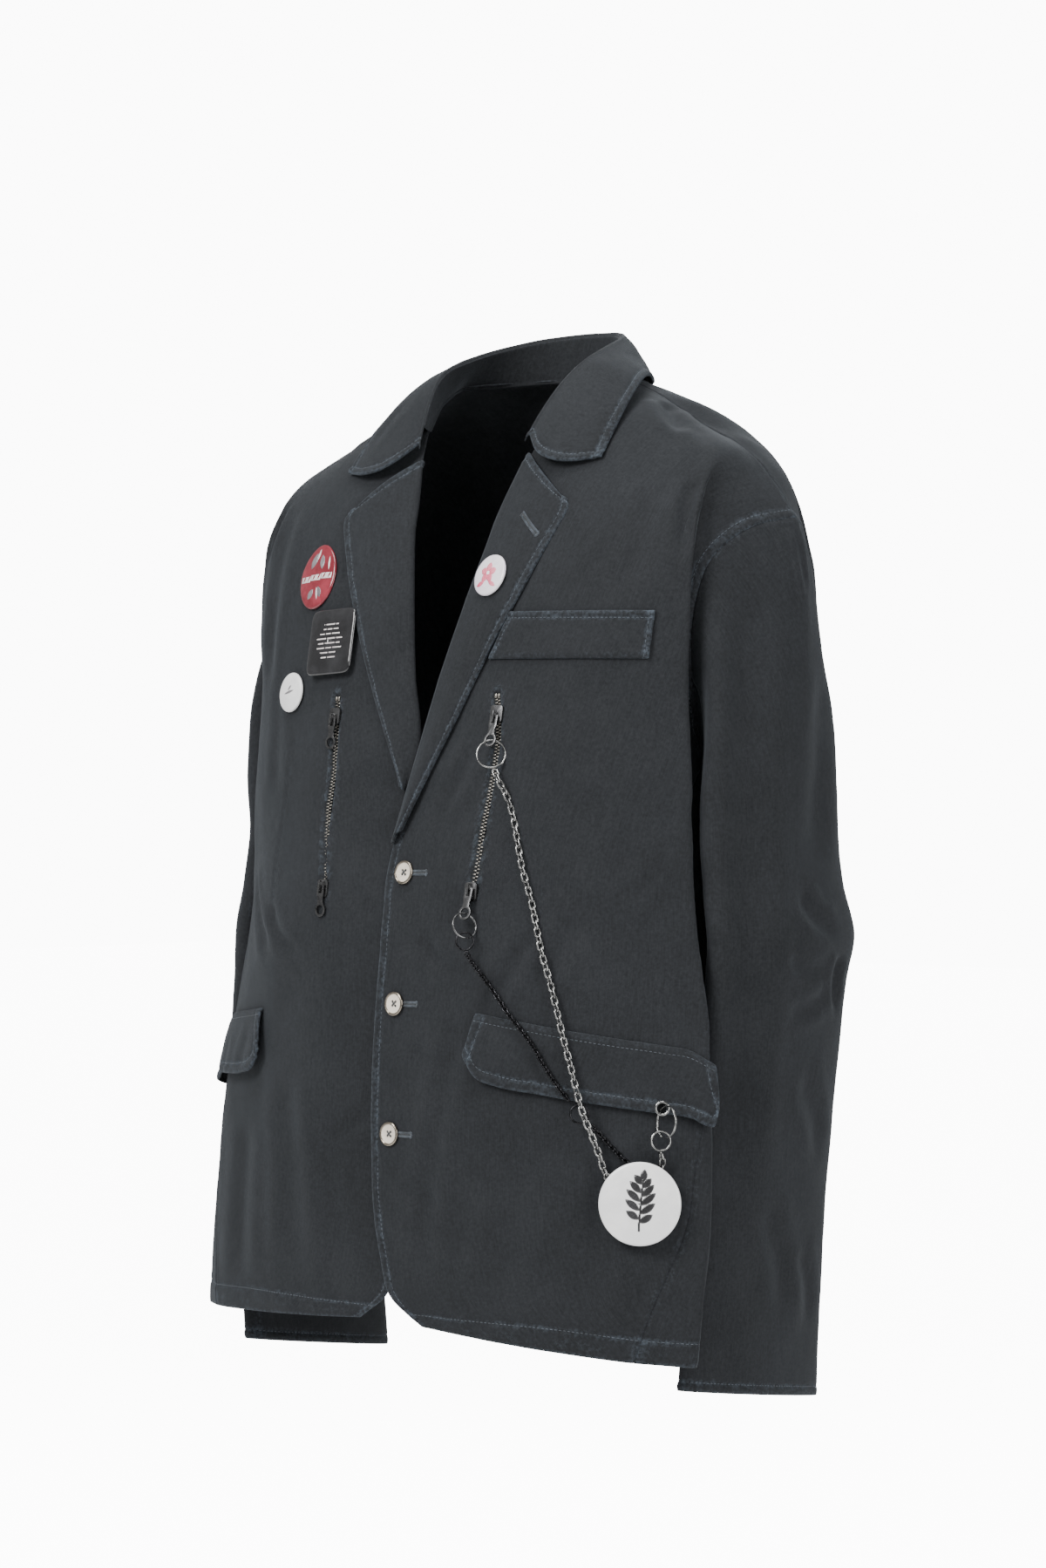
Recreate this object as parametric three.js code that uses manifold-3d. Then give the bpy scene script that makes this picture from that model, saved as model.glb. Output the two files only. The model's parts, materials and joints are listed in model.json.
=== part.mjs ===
// A three-button tailored jacket in its worn form: hollow, with open neck, hem and cuffs.
// Millimetres, +Z up, front towards -Y, wearer's left towards +X.
// The origin is in the middle of the neck opening, where the wearer's shoulders carry it.

import * as THREE from 'three';
import { mergeVertices } from 'three/addons/utils/BufferGeometryUtils.js';
import Module from 'manifold-3d';

const wasm = await Module();
wasm.setup();

// ---------------------------------------------------------------- driving dimensions
const clothWall = 1.2;          // one layer of twill
const doubleWall = 2.0;         // lapels, collar, flaps and welt, two layers
const seamGap = 0.3;            // clear space between two sewn pieces
const layGap = 0.35;            // clear space between a piece and the panel under it
const chestLevel = -190;        // below it sections are level, above it they rise to the shoulder
const underarmLevel = -248;
const frontOverlap = 18;        // front edge past the centre line
const hemCentre = -648;
const hemDrop = 16;             // the hem is lower at the sides

// half sections of the body, from the front centre round to the back centre
const bodySections = [
  { z: -700, frontY: -152, breastY: -152, outerY: -139, creaseX: 230, creaseY: -98,
    sideX: 186, sideY: 8, rearCreaseX: 181, rearCreaseY: 98, bladeY: 134, rearY: 136 },
  { z: -660, frontY: -151, breastY: -151, outerY: -137, creaseX: 232, creaseY: -93,
    sideX: 185, sideY: 8, rearCreaseX: 182, rearCreaseY: 98, bladeY: 132, rearY: 134 },
  { z: -560, frontY: -147, breastY: -149, outerY: -131, creaseX: 237, creaseY: -80,
    sideX: 184, sideY: 8, rearCreaseX: 187, rearCreaseY: 99, bladeY: 128, rearY: 128 },
  { z: -455, frontY: -142, breastY: -146, outerY: -125, creaseX: 231, creaseY: -69,
    sideX: 183, sideY: 12, rearCreaseX: 194, rearCreaseY: 103, bladeY: 125, rearY: 120 },
  { z: -363, frontY: -134, breastY: -138, outerY: -118, creaseX: 213, creaseY: -67,
    sideX: 183, sideY: 15, rearCreaseX: 199, rearCreaseY: 109, bladeY: 127, rearY: 119 },
  { z: -265, frontY: -118, breastY: -125, outerY: -108, creaseX: 209, creaseY: -67,
    sideX: 183, sideY: 12, rearCreaseX: 198, rearCreaseY: 106, bladeY: 131, rearY: 123 },
  { z: -190, frontY: -106, breastY: -111, outerY: -98, creaseX: 204, creaseY: -65,
    sideX: 184, sideY: 12, rearCreaseX: 199, rearCreaseY: 98, bladeY: 130, rearY: 124 },
  { z: -100, frontY: -88, breastY: -94, outerY: -84, creaseX: 203, creaseY: -60,
    sideX: 186, sideY: 12, rearCreaseX: 202, rearCreaseY: 90, bladeY: 118, rearY: 112 },
];
const breastX = 75;             // the columns above are taken at these distances from the centre
const outerX = 150;
const rearOuterX = 140;

// edge of the front from the lapel break up to the side-neck point
const neckEdge = [
  { z: -340, x: -18, y: -131 },
  { z: -318, x: -17, y: -128 },
  { z: -280, x: -7, y: -121 },
  { z: -236, x: 4, y: -113 },
  { z: -188, x: 16, y: -105 },
  { z: -138, x: 28, y: -94 },
  { z: -90, x: 39, y: -81 },
  { z: -48, x: 48, y: -64 },
  { z: -17, x: 56, y: -48 },
  { z: 8, x: 64, y: -28 },
  { z: 26, x: 71, y: -4 },
  { z: 36, x: 75, y: 20 },
];

// armhole, front half and rear half, from the underarm panel up to the shoulder point
const armholeFront = [
  { z: -300, x: 185, y: -26 },
  { z: -248, x: 187, y: -24 },
  { z: -222, x: 188, y: -32 },
  { z: -190, x: 192, y: -42 },
  { z: -160, x: 196, y: -48 },
  { z: -133, x: 201, y: -49 },
  { z: -109, x: 208, y: -44 },
  { z: -91, x: 219, y: -28 },
  { z: -80, x: 231, y: -6 },
  { z: -76, x: 239, y: 16 },
];
const armholeRear = [
  { z: -300, x: 186, y: 48 },
  { z: -248, x: 187, y: 46 },
  { z: -222, x: 188, y: 54 },
  { z: -190, x: 191, y: 63 },
  { z: -160, x: 195, y: 68 },
  { z: -133, x: 200, y: 69 },
  { z: -109, x: 208, y: 63 },
  { z: -91, x: 219, y: 50 },
  { z: -80, x: 231, y: 34 },
  { z: -76, x: 239, y: 16 },
];

// shoulder seam from the side-neck point out to the shoulder point
const shoulderSeam = [
  { across: 0.0, x: 75, y: 20, z: 36 },
  { across: 0.22, x: 110, y: 23, z: 20 },
  { across: 0.46, x: 151, y: 22, z: -5 },
  { across: 0.75, x: 199, y: 20, z: -30 },
  { across: 0.88, x: 221, y: 18, z: -52 },
  { across: 1.0, x: 239, y: 16, z: -76 },
];
// back neckline from the centre back to the side-neck point
const backNeck = [
  { across: 0.0, x: 0, y: 76, z: 42 },
  { across: 0.5, x: 42, y: 67, z: 42 },
  { across: 0.8, x: 65, y: 45, z: 39 },
  { across: 1.0, x: 75, y: 20, z: 36 },
];

// where the seams of the underarm panel run, as places on the section (see bodyPoint)
const frontSeam = [
  { z: -700, place: 2.6 },
  { z: -660, place: 2.7 },
  { z: -560, place: 3.1 },
  { z: -455, place: 3.7 },
  { z: -415, place: 4.0 },
  { z: -363, place: 4.7 },
  { z: -330, place: 5.2 },
  { z: -300, place: 5.7 },
  { z: -248, place: 6.35 },
  { z: -222, place: 6.2 },
  { z: -190, place: 6.05 },
];
const rearSeam = [
  { z: -700, place: 10.2 },
  { z: -660, place: 10.1 },
  { z: -455, place: 9.6 },
  { z: -363, place: 9.2 },
  { z: -300, place: 8.2 },
  { z: -248, place: 7.5 },
  { z: -222, place: 7.6 },
  { z: -190, place: 7.8 },
];

// sleeves: middle and half sizes of the flattened sections, left and right arm
const sleeveSections = [
  { z: -300, leftX: 218, leftY: 15, rightX: 219, rightY: 15, halfX: 25, halfY: 73 },
  { z: -345, leftX: 220, leftY: 19, rightX: 227, rightY: 16, halfX: 26, halfY: 75 },
  { z: -375, leftX: 223, leftY: 23, rightX: 232, rightY: 17, halfX: 26, halfY: 79 },
  { z: -410, leftX: 220, leftY: 20, rightX: 236, rightY: 16, halfX: 25, halfY: 75 },
  { z: -455, leftX: 218, leftY: 17, rightX: 240, rightY: 15, halfX: 24, halfY: 74 },
  { z: -500, leftX: 215, leftY: 14, rightX: 239, rightY: 12, halfX: 22, halfY: 74 },
  { z: -560, leftX: 212, leftY: 10, rightX: 231, rightY: 9, halfX: 20, halfY: 75 },
  { z: -625, leftX: 209, leftY: 7, rightX: 221, rightY: 6, halfX: 18, halfY: 76 },
  { z: -699, leftX: 206, leftY: 4, rightX: 211, rightY: 3, halfX: 17, halfY: 78 },
];

// ---------------------------------------------------------------- small mathematics
const lerp = (a, b, t) => a + (b - a) * t;

// smooth curve through the rows of a table: every column at one value of the key column
function readTable(rows, key, value) {
  const ordered = [...rows].sort((p, q) => p[key] - q[key]);
  const last = ordered.length - 1;
  const at = Math.min(Math.max(value, ordered[0][key]), ordered[last][key]);
  let i = 0;
  while (i < last - 1 && at > ordered[i + 1][key]) i += 1;
  const result = {};
  for (const column of Object.keys(ordered[0])) {
    result[column] = hermite(ordered.map((r) => r[key]), ordered.map((r) => r[column]), i, at);
  }
  return result;
}

// cubic through knots with slopes weighted by the spacing of the knots
function hermite(knots, values, i, at) {
  const slope = (k) => {
    const left = k > 0 ? (values[k] - values[k - 1]) / (knots[k] - knots[k - 1]) : null;
    const right = k < knots.length - 1
      ? (values[k + 1] - values[k]) / (knots[k + 1] - knots[k]) : null;
    if (left === null) return right;
    if (right === null) return left;
    const before = knots[k] - knots[k - 1];
    const after = knots[k + 1] - knots[k];
    return (left * after + right * before) / (before + after);
  };
  const span = knots[i + 1] - knots[i];
  const t = (at - knots[i]) / span;
  const t2 = t * t;
  const t3 = t2 * t;
  return (2 * t3 - 3 * t2 + 1) * values[i] + (t3 - 2 * t2 + t) * span * slope(i)
    + (-2 * t3 + 3 * t2) * values[i + 1] + (t3 - t2) * span * slope(i + 1);
}

// smooth curve through points, spaced by their distances; place 1.5 is midway from point 1 to 2
function alongPoints(points, place) {
  const knots = [0];
  for (let i = 1; i < points.length; i += 1) {
    const step = Math.hypot(...points[i].map((v, k) => v - points[i - 1][k]));
    knots.push(knots[i - 1] + step);
  }
  const i = Math.min(Math.max(Math.floor(place), 0), points.length - 2);
  const at = lerp(knots[i], knots[i + 1], place - i);
  return points[0].map((_, k) => hermite(knots, points.map((p) => p[k]), i, at));
}

// ---------------------------------------------------------------- the body's surface
// a point on the level section: place 0 is the front centre, 4 the front crease,
// 7 the side, 10 the rear crease and 13 the back centre
function bodyPoint(place, z) {
  const s = readTable(bodySections, 'z', z);
  const ring = [
    [-breastX, s.breastY],
    [0, s.frontY],
    [breastX, s.breastY],
    [outerX, s.outerY],
    [s.creaseX - 12, s.creaseY - 12],
    [s.creaseX, s.creaseY],
    [s.creaseX - 16, s.creaseY + 5],
    [s.sideX + 5, s.creaseY + 20],
    [s.sideX, s.sideY],
    [s.sideX + 3, s.rearCreaseY - 30],
    [s.rearCreaseX - 9, s.rearCreaseY - 13],
    [s.rearCreaseX, s.rearCreaseY],
    [rearOuterX, lerp(s.rearCreaseY, s.bladeY, 0.6)],
    [breastX, s.bladeY],
    [0, s.rearY],
    [-breastX, s.bladeY],
  ];
  const [x, y] = alongPoints(ring, place + 1);
  return [x, y, z];
}

// the place on the front of the section that lies at a given distance from the centre
function placeAtX(x, z) {
  let low = -1;
  let high = 4;
  for (let i = 0; i < 24; i += 1) {
    const middle = (low + high) / 2;
    if (bodyPoint(middle, z)[0] < x) low = middle;
    else high = middle;
  }
  return (low + high) / 2;
}

// level rows from the hem to the chest level, then rising rows given by an angle
const levelRows = [-630, -605, -570, -535, -500, -465, -430, -395, -360, -330, -300, -272,
  underarmLevel, -222];
const risingRows = [0, 15, 30, 44, 57, 70, 80, 90];

// a rising row: from the chest section up and over to the shoulder seam
function risingPoint(low, top, angle, square) {
  const turn = angle * Math.PI / 180;
  const over = Math.pow(1 - Math.cos(turn), square);
  return [lerp(low[0], top[0], over), lerp(low[1], top[1], over),
    lerp(low[2], top[2], Math.sin(turn))];
}

// ---------------------------------------------------------------- cloth walls
const minus = (a, b) => [a[0] - b[0], a[1] - b[1], a[2] - b[2]];
const plus = (a, b, scale = 1) => [a[0] + b[0] * scale, a[1] + b[1] * scale, a[2] + b[2] * scale];
const cross = (a, b) => [a[1] * b[2] - a[2] * b[1], a[2] * b[0] - a[0] * b[2],
  a[0] * b[1] - a[1] * b[0]];
const unit = (a) => {
  const size = Math.hypot(...a) || 1;
  return [a[0] / size, a[1] / size, a[2] / size];
};
const mix = (a, b, t) => [lerp(a[0], b[0], t), lerp(a[1], b[1], t), lerp(a[2], b[2], t)];
const mirrorPoint = ([x, y, z]) => [-x, y, z];
const mirrorGrid = (grid) => grid.map((row) => row.map(mirrorPoint).reverse());
const column = (grid, j) => grid.map((row) => row.at(j));

// outward normals of a grid whose rows go up and whose columns go round anticlockwise from above;
// the panels sewn to its first and last column can lend the column beyond, so that both walls
// turn alike at the seam
function gridNormals(grid, beyond = {}) {
  return grid.map((row, i) => row.map((_, j) => {
    const up = minus(grid[Math.min(i + 1, grid.length - 1)][j], grid[Math.max(i - 1, 0)][j]);
    const next = row[j + 1] ?? beyond.last?.[i] ?? row[j];
    const previous = row[j - 1] ?? beyond.first?.[i] ?? row[j];
    return unit(cross(minus(next, previous), up));
  }));
}

const moveOut = (grid, distance, beyond) => {
  const normals = gridNormals(grid, beyond);
  return grid.map((row, i) => row.map((p, j) => plus(p, normals[i][j], distance)));
};

// draw the border of a grid back along its own surface, to leave a seam's clear space
function trim(grid, { first = 0, last = 0, bottom = 0, top = 0 }) {
  const toward = (p, q, distance) => plus(p, unit(minus(q, p)), distance);
  const cut = grid.map((row) => row.map((p) => [...p]));
  const rows = grid.length - 1;
  const columns = grid[0].length - 1;
  for (let i = 0; i <= rows; i += 1) {
    cut[i][0] = toward(cut[i][0], grid[i][1], first);
    cut[i][columns] = toward(cut[i][columns], grid[i][columns - 1], last);
  }
  for (let j = 0; j <= columns; j += 1) {
    cut[0][j] = plus(cut[0][j], unit(minus(grid[1][j], grid[0][j])), bottom);
    cut[rows][j] = plus(cut[rows][j], unit(minus(grid[rows - 1][j], grid[rows][j])), top);
  }
  return cut;
}

// closed wall of even thickness about a grid of points
function wallGeometry(grid, thickness, beyond) {
  const outer = moveOut(grid, thickness / 2, beyond);
  const inner = moveOut(grid, -thickness / 2, beyond);
  const rows = grid.length;
  const columns = grid[0].length;
  const positions = [...outer.flat(2), ...inner.flat(2)];
  const out = (i, j) => i * columns + j;
  const inn = (i, j) => rows * columns + i * columns + j;
  const faces = [];
  const quad = (a, b, c, d) => faces.push(a, b, c, a, c, d);
  for (let i = 0; i < rows - 1; i += 1) {
    for (let j = 0; j < columns - 1; j += 1) {
      quad(out(i, j), out(i, j + 1), out(i + 1, j + 1), out(i + 1, j));
      quad(inn(i, j), inn(i + 1, j), inn(i + 1, j + 1), inn(i, j + 1));
    }
    quad(out(i, 0), out(i + 1, 0), inn(i + 1, 0), inn(i, 0));
    quad(out(i, columns - 1), inn(i, columns - 1), inn(i + 1, columns - 1), out(i + 1, columns - 1));
  }
  for (let j = 0; j < columns - 1; j += 1) {
    quad(out(0, j), inn(0, j), inn(0, j + 1), out(0, j + 1));
    quad(out(rows - 1, j), out(rows - 1, j + 1), inn(rows - 1, j + 1), inn(rows - 1, j));
  }
  const geometry = new THREE.BufferGeometry();
  geometry.setAttribute('position', new THREE.Float32BufferAttribute(positions, 3));
  geometry.setIndex(faces);
  return geometry;
}

// ---------------------------------------------------------------- materials
const surface = (color, roughness, metalness) =>
  () => new THREE.MeshStandardMaterial({ color, roughness, metalness, side: THREE.FrontSide });
const twill = surface(0x2d3134, 0.9, 0);
const darkMetal = surface(0x4a4744, 0.4, 1);
const silver = surface(0xb9b9b6, 0.25, 1);
const blackMetal = surface(0x151517, 0.35, 0.8);
const horn = surface(0xe3ddd0, 0.3, 0.1);
const whiteFace = surface(0xf1f0ee, 0.2, 0);
const redFace = surface(0x7b1f2b, 0.2, 0);
const blackFace = surface(0x121315, 0.15, 0);
const pinkFace = surface(0xe6d3d9, 0.2, 0);

const jacket = new THREE.Group();
function add(name, geometry, material) {
  const mesh = new THREE.Mesh(geometry, material());
  mesh.name = name;
  jacket.add(mesh);
  return mesh;
}

// ---------------------------------------------------------------- fronts, sides and backs
// the front edge curves away from the centre at the hem
const cutawayEdge = [
  { z: -700, x: 60 },
  { z: -654, x: 22 },
  { z: -645, x: 10 },
  { z: -630, x: 2 },
  { z: -605, x: -7 },
  { z: -570, x: -15 },
  { z: -535, x: -frontOverlap },
  { z: -340, x: -frontOverlap },
];
const frontColumns = [0, 0.09, 0.19, 0.3, 0.42, 0.54, 0.65, 0.75, 0.83, 0.91, 1];
const sideColumns = [0, 0.17, 0.34, 0.5, 0.67, 0.84, 1];
const rearColumns = [0, 0.13, 0.26, 0.38, 0.5, 0.6, 0.7, 0.8, 0.9, 1];
const lapShift = 1.3;           // the left front lies this far out, the right one as far in
const hemSeamX = 200;           // the side seams meet the hem about here

const hemHeight = (x) => hemCentre - hemDrop * Math.abs(x) / 232 - 4 * x / 232;

// the height of the bottom row is read from where its points lie
function hemPoint(place, side) {
  let point = bodyPoint(place, hemCentre);
  for (let i = 0; i < 3; i += 1) point = bodyPoint(place, hemHeight(point[0] * side));
  return point;
}

function frontEdgeX(z) {
  return z > -340 ? readTable(neckEdge, 'z', z).x : readTable(cutawayEdge, 'z', z).x;
}

// left front; a mirrored copy with the other lap makes the right one
function frontGrid(side) {
  const grid = [];
  const levels = [null, ...levelRows, chestLevel];
  let chestRow = [];
  for (const level of levels) {
    const z = level ?? hemHeight(hemSeamX * side);
    const first = placeAtX(frontEdgeX(z), z);
    const last = readTable(frontSeam, 'z', z).place;
    const row = frontColumns.map((share, j) => {
      // the second column lies where the other front's edge does
      const place = j === 1 && first < -0.05 ? -first : lerp(first, last, share);
      return level === null ? hemPoint(place, side) : bodyPoint(place, z);
    });
    if (z >= underarmLevel) {
      const edge = readTable(armholeFront, 'z', z);
      const miss = minus([edge.x, edge.y, z], row[row.length - 1]);
      frontColumns.forEach((share, j) => {
        row[j] = plus(row[j], miss, Math.pow(share, 8));
      });
    }
    grid.push(row);
    chestRow = row;
  }
  for (const angle of risingRows.slice(1)) {
    const row = frontColumns.map((share, j) => {
      const seam = readTable(shoulderSeam, 'across', share);
      return risingPoint(chestRow[j], [seam.x, seam.y, seam.z], angle, 0.8 + 1.8 * share * share);
    });
    const inner = readTable(neckEdge, 'z', row[0][2]);
    const outer = readTable(armholeFront, 'z', row[row.length - 1][2]);
    const innerMiss = minus([inner.x, inner.y, row[0][2]], row[0]);
    const outerMiss = minus([outer.x, outer.y, row[row.length - 1][2]], row[row.length - 1]);
    frontColumns.forEach((share, j) => {
      row[j] = plus(plus(row[j], innerMiss, (1 - share) ** 2), outerMiss, share ** 4);
    });
    grid.push(row);
  }
  const lapped = grid.map((row) => row.map(([x, y, z]) => {
    const fade = Math.min(Math.max((60 - x) / 38, 0), 1);
    return [x, y - side * lapShift * fade, z];
  }));
  return lapped;
}

function sideGrid(side) {
  const levels = [null, ...levelRows.filter((z) => z <= underarmLevel)];
  return levels.map((level) => {
    const z = level ?? hemHeight(hemSeamX * side);
    const first = readTable(frontSeam, 'z', z).place;
    const last = readTable(rearSeam, 'z', z).place;
    const row = sideColumns.map((share) => {
      const place = lerp(first, last, share);
      return level === null ? hemPoint(place, side) : bodyPoint(place, z);
    });
    if (z >= underarmLevel) {
      const front = readTable(armholeFront, 'z', z);
      const rear = readTable(armholeRear, 'z', z);
      const frontMiss = minus([front.x, front.y, z], row[0]);
      const rearMiss = minus([rear.x, rear.y, z], row[row.length - 1]);
      sideColumns.forEach((share, j) => {
        row[j] = plus(plus(row[j], frontMiss, (1 - share) ** 2), rearMiss, share ** 2);
      });
    }
    return row;
  });
}

// columns go from the rear armhole or seam to the back centre
function rearGrid(side) {
  const grid = [];
  const neckShare = 0.3;
  let chestRow = [];
  for (const level of [null, ...levelRows, chestLevel]) {
    const z = level ?? hemHeight(hemSeamX * side);
    const first = readTable(rearSeam, 'z', z).place;
    const row = rearColumns.map((share) => {
      const place = lerp(first, 13, share);
      return level === null ? hemPoint(place, side) : bodyPoint(place, z);
    });
    if (z >= underarmLevel) {
      const edge = readTable(armholeRear, 'z', z);
      const miss = minus([edge.x, edge.y, z], row[0]);
      rearColumns.forEach((share, j) => {
        row[j] = plus(row[j], miss, Math.pow(1 - share, 6));
      });
    }
    grid.push(row);
    chestRow = row;
  }
  for (const angle of risingRows.slice(1)) {
    const row = rearColumns.map((share, j) => {
      const out = 1 - share;
      const top = out > neckShare
        ? readTable(shoulderSeam, 'across', (out - neckShare) / (1 - neckShare))
        : readTable(backNeck, 'across', out / neckShare);
      return risingPoint(chestRow[j], [top.x, top.y, top.z], angle, 1 + 1.2 * out * out);
    });
    const outer = readTable(armholeRear, 'z', row[0][2]);
    const miss = minus([outer.x, outer.y, row[0][2]], row[0]);
    rearColumns.forEach((share, j) => {
      row[j] = plus(row[j], miss, (1 - share) ** 4);
    });
    grid.push(row);
  }
  return grid;
}

const seamTrim = seamGap / 2 + 0.05;
const armholeTrim = 1.5;         // the sleeve's wall starts this far from the armhole's edge

// a panel's wall on the wearer's left, or its mirrored copy on the right
function addPanel(name, side, grid, beyond, thickness = clothWall) {
  if (side > 0) return add(`${name}_left`, wallGeometry(grid, thickness, beyond), twill);
  const mirrored = {
    first: beyond?.last?.map(mirrorPoint),
    last: beyond?.first?.map(mirrorPoint),
  };
  return add(`${name}_right`, wallGeometry(mirrorGrid(grid), thickness, mirrored), twill);
}

const shoulderTrim = 0.5;
const panels = {};
for (const side of [1, -1]) {
  const front = frontGrid(side);
  const middle = sideGrid(side);
  const rear = rearGrid(side);
  panels[side] = { front, middle, rear };
}

// the point of a panel that lies behind a place seen from the front, with the outward normal
function onPanel(grid, normals, x, z) {
  let found = null;
  for (let i = 0; i < grid.length - 1 && !found; i += 1) {
    for (let j = 0; j < grid[0].length - 1 && !found; j += 1) {
      const corners = [[i, j], [i, j + 1], [i + 1, j + 1], [i + 1, j]];
      for (const pick of [[0, 1, 2], [0, 2, 3]]) {
        const [a, b, c] = pick.map((k) => grid[corners[k][0]][corners[k][1]]);
        const [na, nb, nc] = pick.map((k) => normals[corners[k][0]][corners[k][1]]);
        const area = (b[0] - a[0]) * (c[2] - a[2]) - (c[0] - a[0]) * (b[2] - a[2]);
        const wb = ((x - a[0]) * (c[2] - a[2]) - (c[0] - a[0]) * (z - a[2])) / area;
        const wc = ((b[0] - a[0]) * (z - a[2]) - (x - a[0]) * (b[2] - a[2])) / area;
        const wa = 1 - wb - wc;
        if (Math.min(wa, wb, wc) >= -1e-6 && area > 0) {
          const blend = (p, q, r) => plus(plus(plus([0, 0, 0], p, wa), q, wb), r, wc);
          found = { point: blend(a, b, c), normal: unit(blend(na, nb, nc)) };
          break;
        }
      }
    }
  }
  if (!found) throw new Error(`no cloth behind ${x.toFixed(1)}, ${z.toFixed(1)}`);
  return found;
}

const frontNormals = {};
for (const side of [1, -1]) frontNormals[side] = gridNormals(panels[side].front);
const onFront = (side, x, z) => onPanel(panels[side].front, frontNormals[side], x, z);

// a strip laid on a front: rows of places on the panel, moved out by a distance for each column
function laidGrid(side, places, lift) {
  return places.map((row, i) => row.map(([x, z], j) => {
    const { point, normal } = onFront(side, x, z);
    return plus(point, normal, lift(i, j));
  }));
}
const layHeight = clothWall / 2 + layGap + doubleWall / 2 + 1.2;

// ---------------------------------------------------------------- zips: places on the fronts
const zipWidth = 6;
// share from the bottom stop to the top stop, and the place on the left and the right front
const zipPath = [
  { share: 0, leftX: 67, rightX: 76, z: -343 },
  { share: 0.3, leftX: 72, rightX: 79, z: -298 },
  { share: 0.55, leftX: 75, rightX: 79, z: -264 },
  { share: 0.8, leftX: 76, rightX: 81, z: -230 },
  { share: 1, leftX: 71, rightX: 84, z: -203 },
];

// closed solid of manifold from a geometry, and back
function toSolid(geometry) {
  const plain = geometry.clone();
  plain.deleteAttribute('normal');
  plain.deleteAttribute('uv');
  const merged = mergeVertices(plain, 1e-4);
  return new wasm.Manifold(new wasm.Mesh({
    numProp: 3,
    vertProperties: Float32Array.from(merged.attributes.position.array),
    triVerts: Uint32Array.from(merged.index.array),
  }));
}
function toGeometry(solid) {
  const mesh = solid.getMesh();
  const geometry = new THREE.BufferGeometry();
  geometry.setAttribute('position', new THREE.Float32BufferAttribute(mesh.vertProperties, 3));
  geometry.setIndex([...mesh.triVerts]);
  return geometry;
}

// a place on the line of the zip; the share may run a little past both ends
function zipPlace(side, share) {
  const inside = Math.min(Math.max(share, 0), 1);
  const row = readTable(zipPath, 'share', inside);
  const length = zipPath.at(-1).z - zipPath[0].z;
  return [side > 0 ? row.leftX : row.rightX, row.z + (share - inside) * length];
}

// a strip along the zip, as wide and as much longer as asked
function zipStrip(side, width, extra) {
  const steps = 10;
  const rows = [];
  for (let i = 0; i <= steps; i += 1) {
    const [x, z] = zipPlace(side, -extra + (1 + 2 * extra) * i / steps);
    rows.push([[x - width / 2, z], [x + width / 2, z]]);
  }
  return laidGrid(side, rows, () => 0);
}

for (const side of [1, -1]) {
  const { front, middle, rear } = panels[side];
  const frontTrimmed = trim(front, { last: seamTrim, top: shoulderTrim });
  const mesh = addPanel('front', side, frontTrimmed, { last: column(middle, 1) });
  addPanel('side_panel', side, trim(middle, { first: seamTrim, last: seamTrim, top: 0.7 }),
    { first: column(front, -2), last: column(rear, 1) });
  addPanel('back', side, trim(rear, { first: seamTrim, last: seamTrim, top: shoulderTrim }),
    { first: column(middle, -2), last: column(rear, -2).map(mirrorPoint) });
  const place = (grid) => (side > 0 ? grid : mirrorGrid(grid));
  const slot = wallGeometry(place(zipStrip(side, zipWidth + 1, 0.004)), 8);
  mesh.geometry = toGeometry(toSolid(mesh.geometry).subtract(toSolid(slot)));
  const name = side > 0 ? 'zip_left' : 'zip_right';
  add(name, wallGeometry(place(zipStrip(side, zipWidth, 0)), 2), darkMetal);
}

// ---------------------------------------------------------------- sleeves
const sleeveRows = [-699, -660, -600, -540, -485, -440, -405, -375, -340, -300];
const capShares = [0.84, 0.66, 0.48, 0.32, 0.18, 0.07, 0];
const underarmRow = 1 + levelRows.indexOf(underarmLevel);
const cuffSlant = 0.13;         // the cuff is lower at the back
const cuffSlantTop = -600;
const seamAngle = 108;          // both sleeve seams lie on the body side of the tips

function sleeveGrids(side) {
  const { front, middle, rear } = panels[side];
  const up = column(front, -1).slice(underarmRow);
  const down = column(rear, 0).slice(underarmRow).reverse().slice(1);
  const under = middle.at(-1).slice(1, -1).reverse();
  const frontStart = 2;
  const rearEnd = down.length - 3;
  const top = [...up.slice(frontStart), ...down.slice(0, rearEnd + 1)];
  const below = [...down.slice(rearEnd), ...under, ...up.slice(0, frontStart + 1)];
  const spread = (ring, from, to, peak) => ring.map((_, k) => {
    const share = k / (ring.length - 1);
    if (peak === undefined) return lerp(from, to, share);
    const at = peak / (ring.length - 1);
    return share < at ? lerp(from, 0, share / at) : lerp(0, to, (share - at) / (1 - at));
  });
  const topAngles = spread(top, -seamAngle, seamAngle, up.length - 1 - frontStart);
  const belowAngles = spread(below, seamAngle, 360 - seamAngle);
  return { top: sleevePiece(side, top, topAngles), under: sleevePiece(side, below, belowAngles) };
}

function sleevePoint(side, z, angle) {
  const s = readTable(sleeveSections, 'z', z);
  const turn = angle * Math.PI / 180;
  const middleX = side > 0 ? s.leftX : s.rightX;
  const middleY = side > 0 ? s.leftY : s.rightY;
  const y = s.halfY * Math.sin(turn);
  const slant = Math.max(0, (cuffSlantTop - z) / (cuffSlantTop - sleeveRows[0]));
  return [middleX + s.halfX * Math.cos(turn), middleY + y, z - cuffSlant * slant * y];
}

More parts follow.
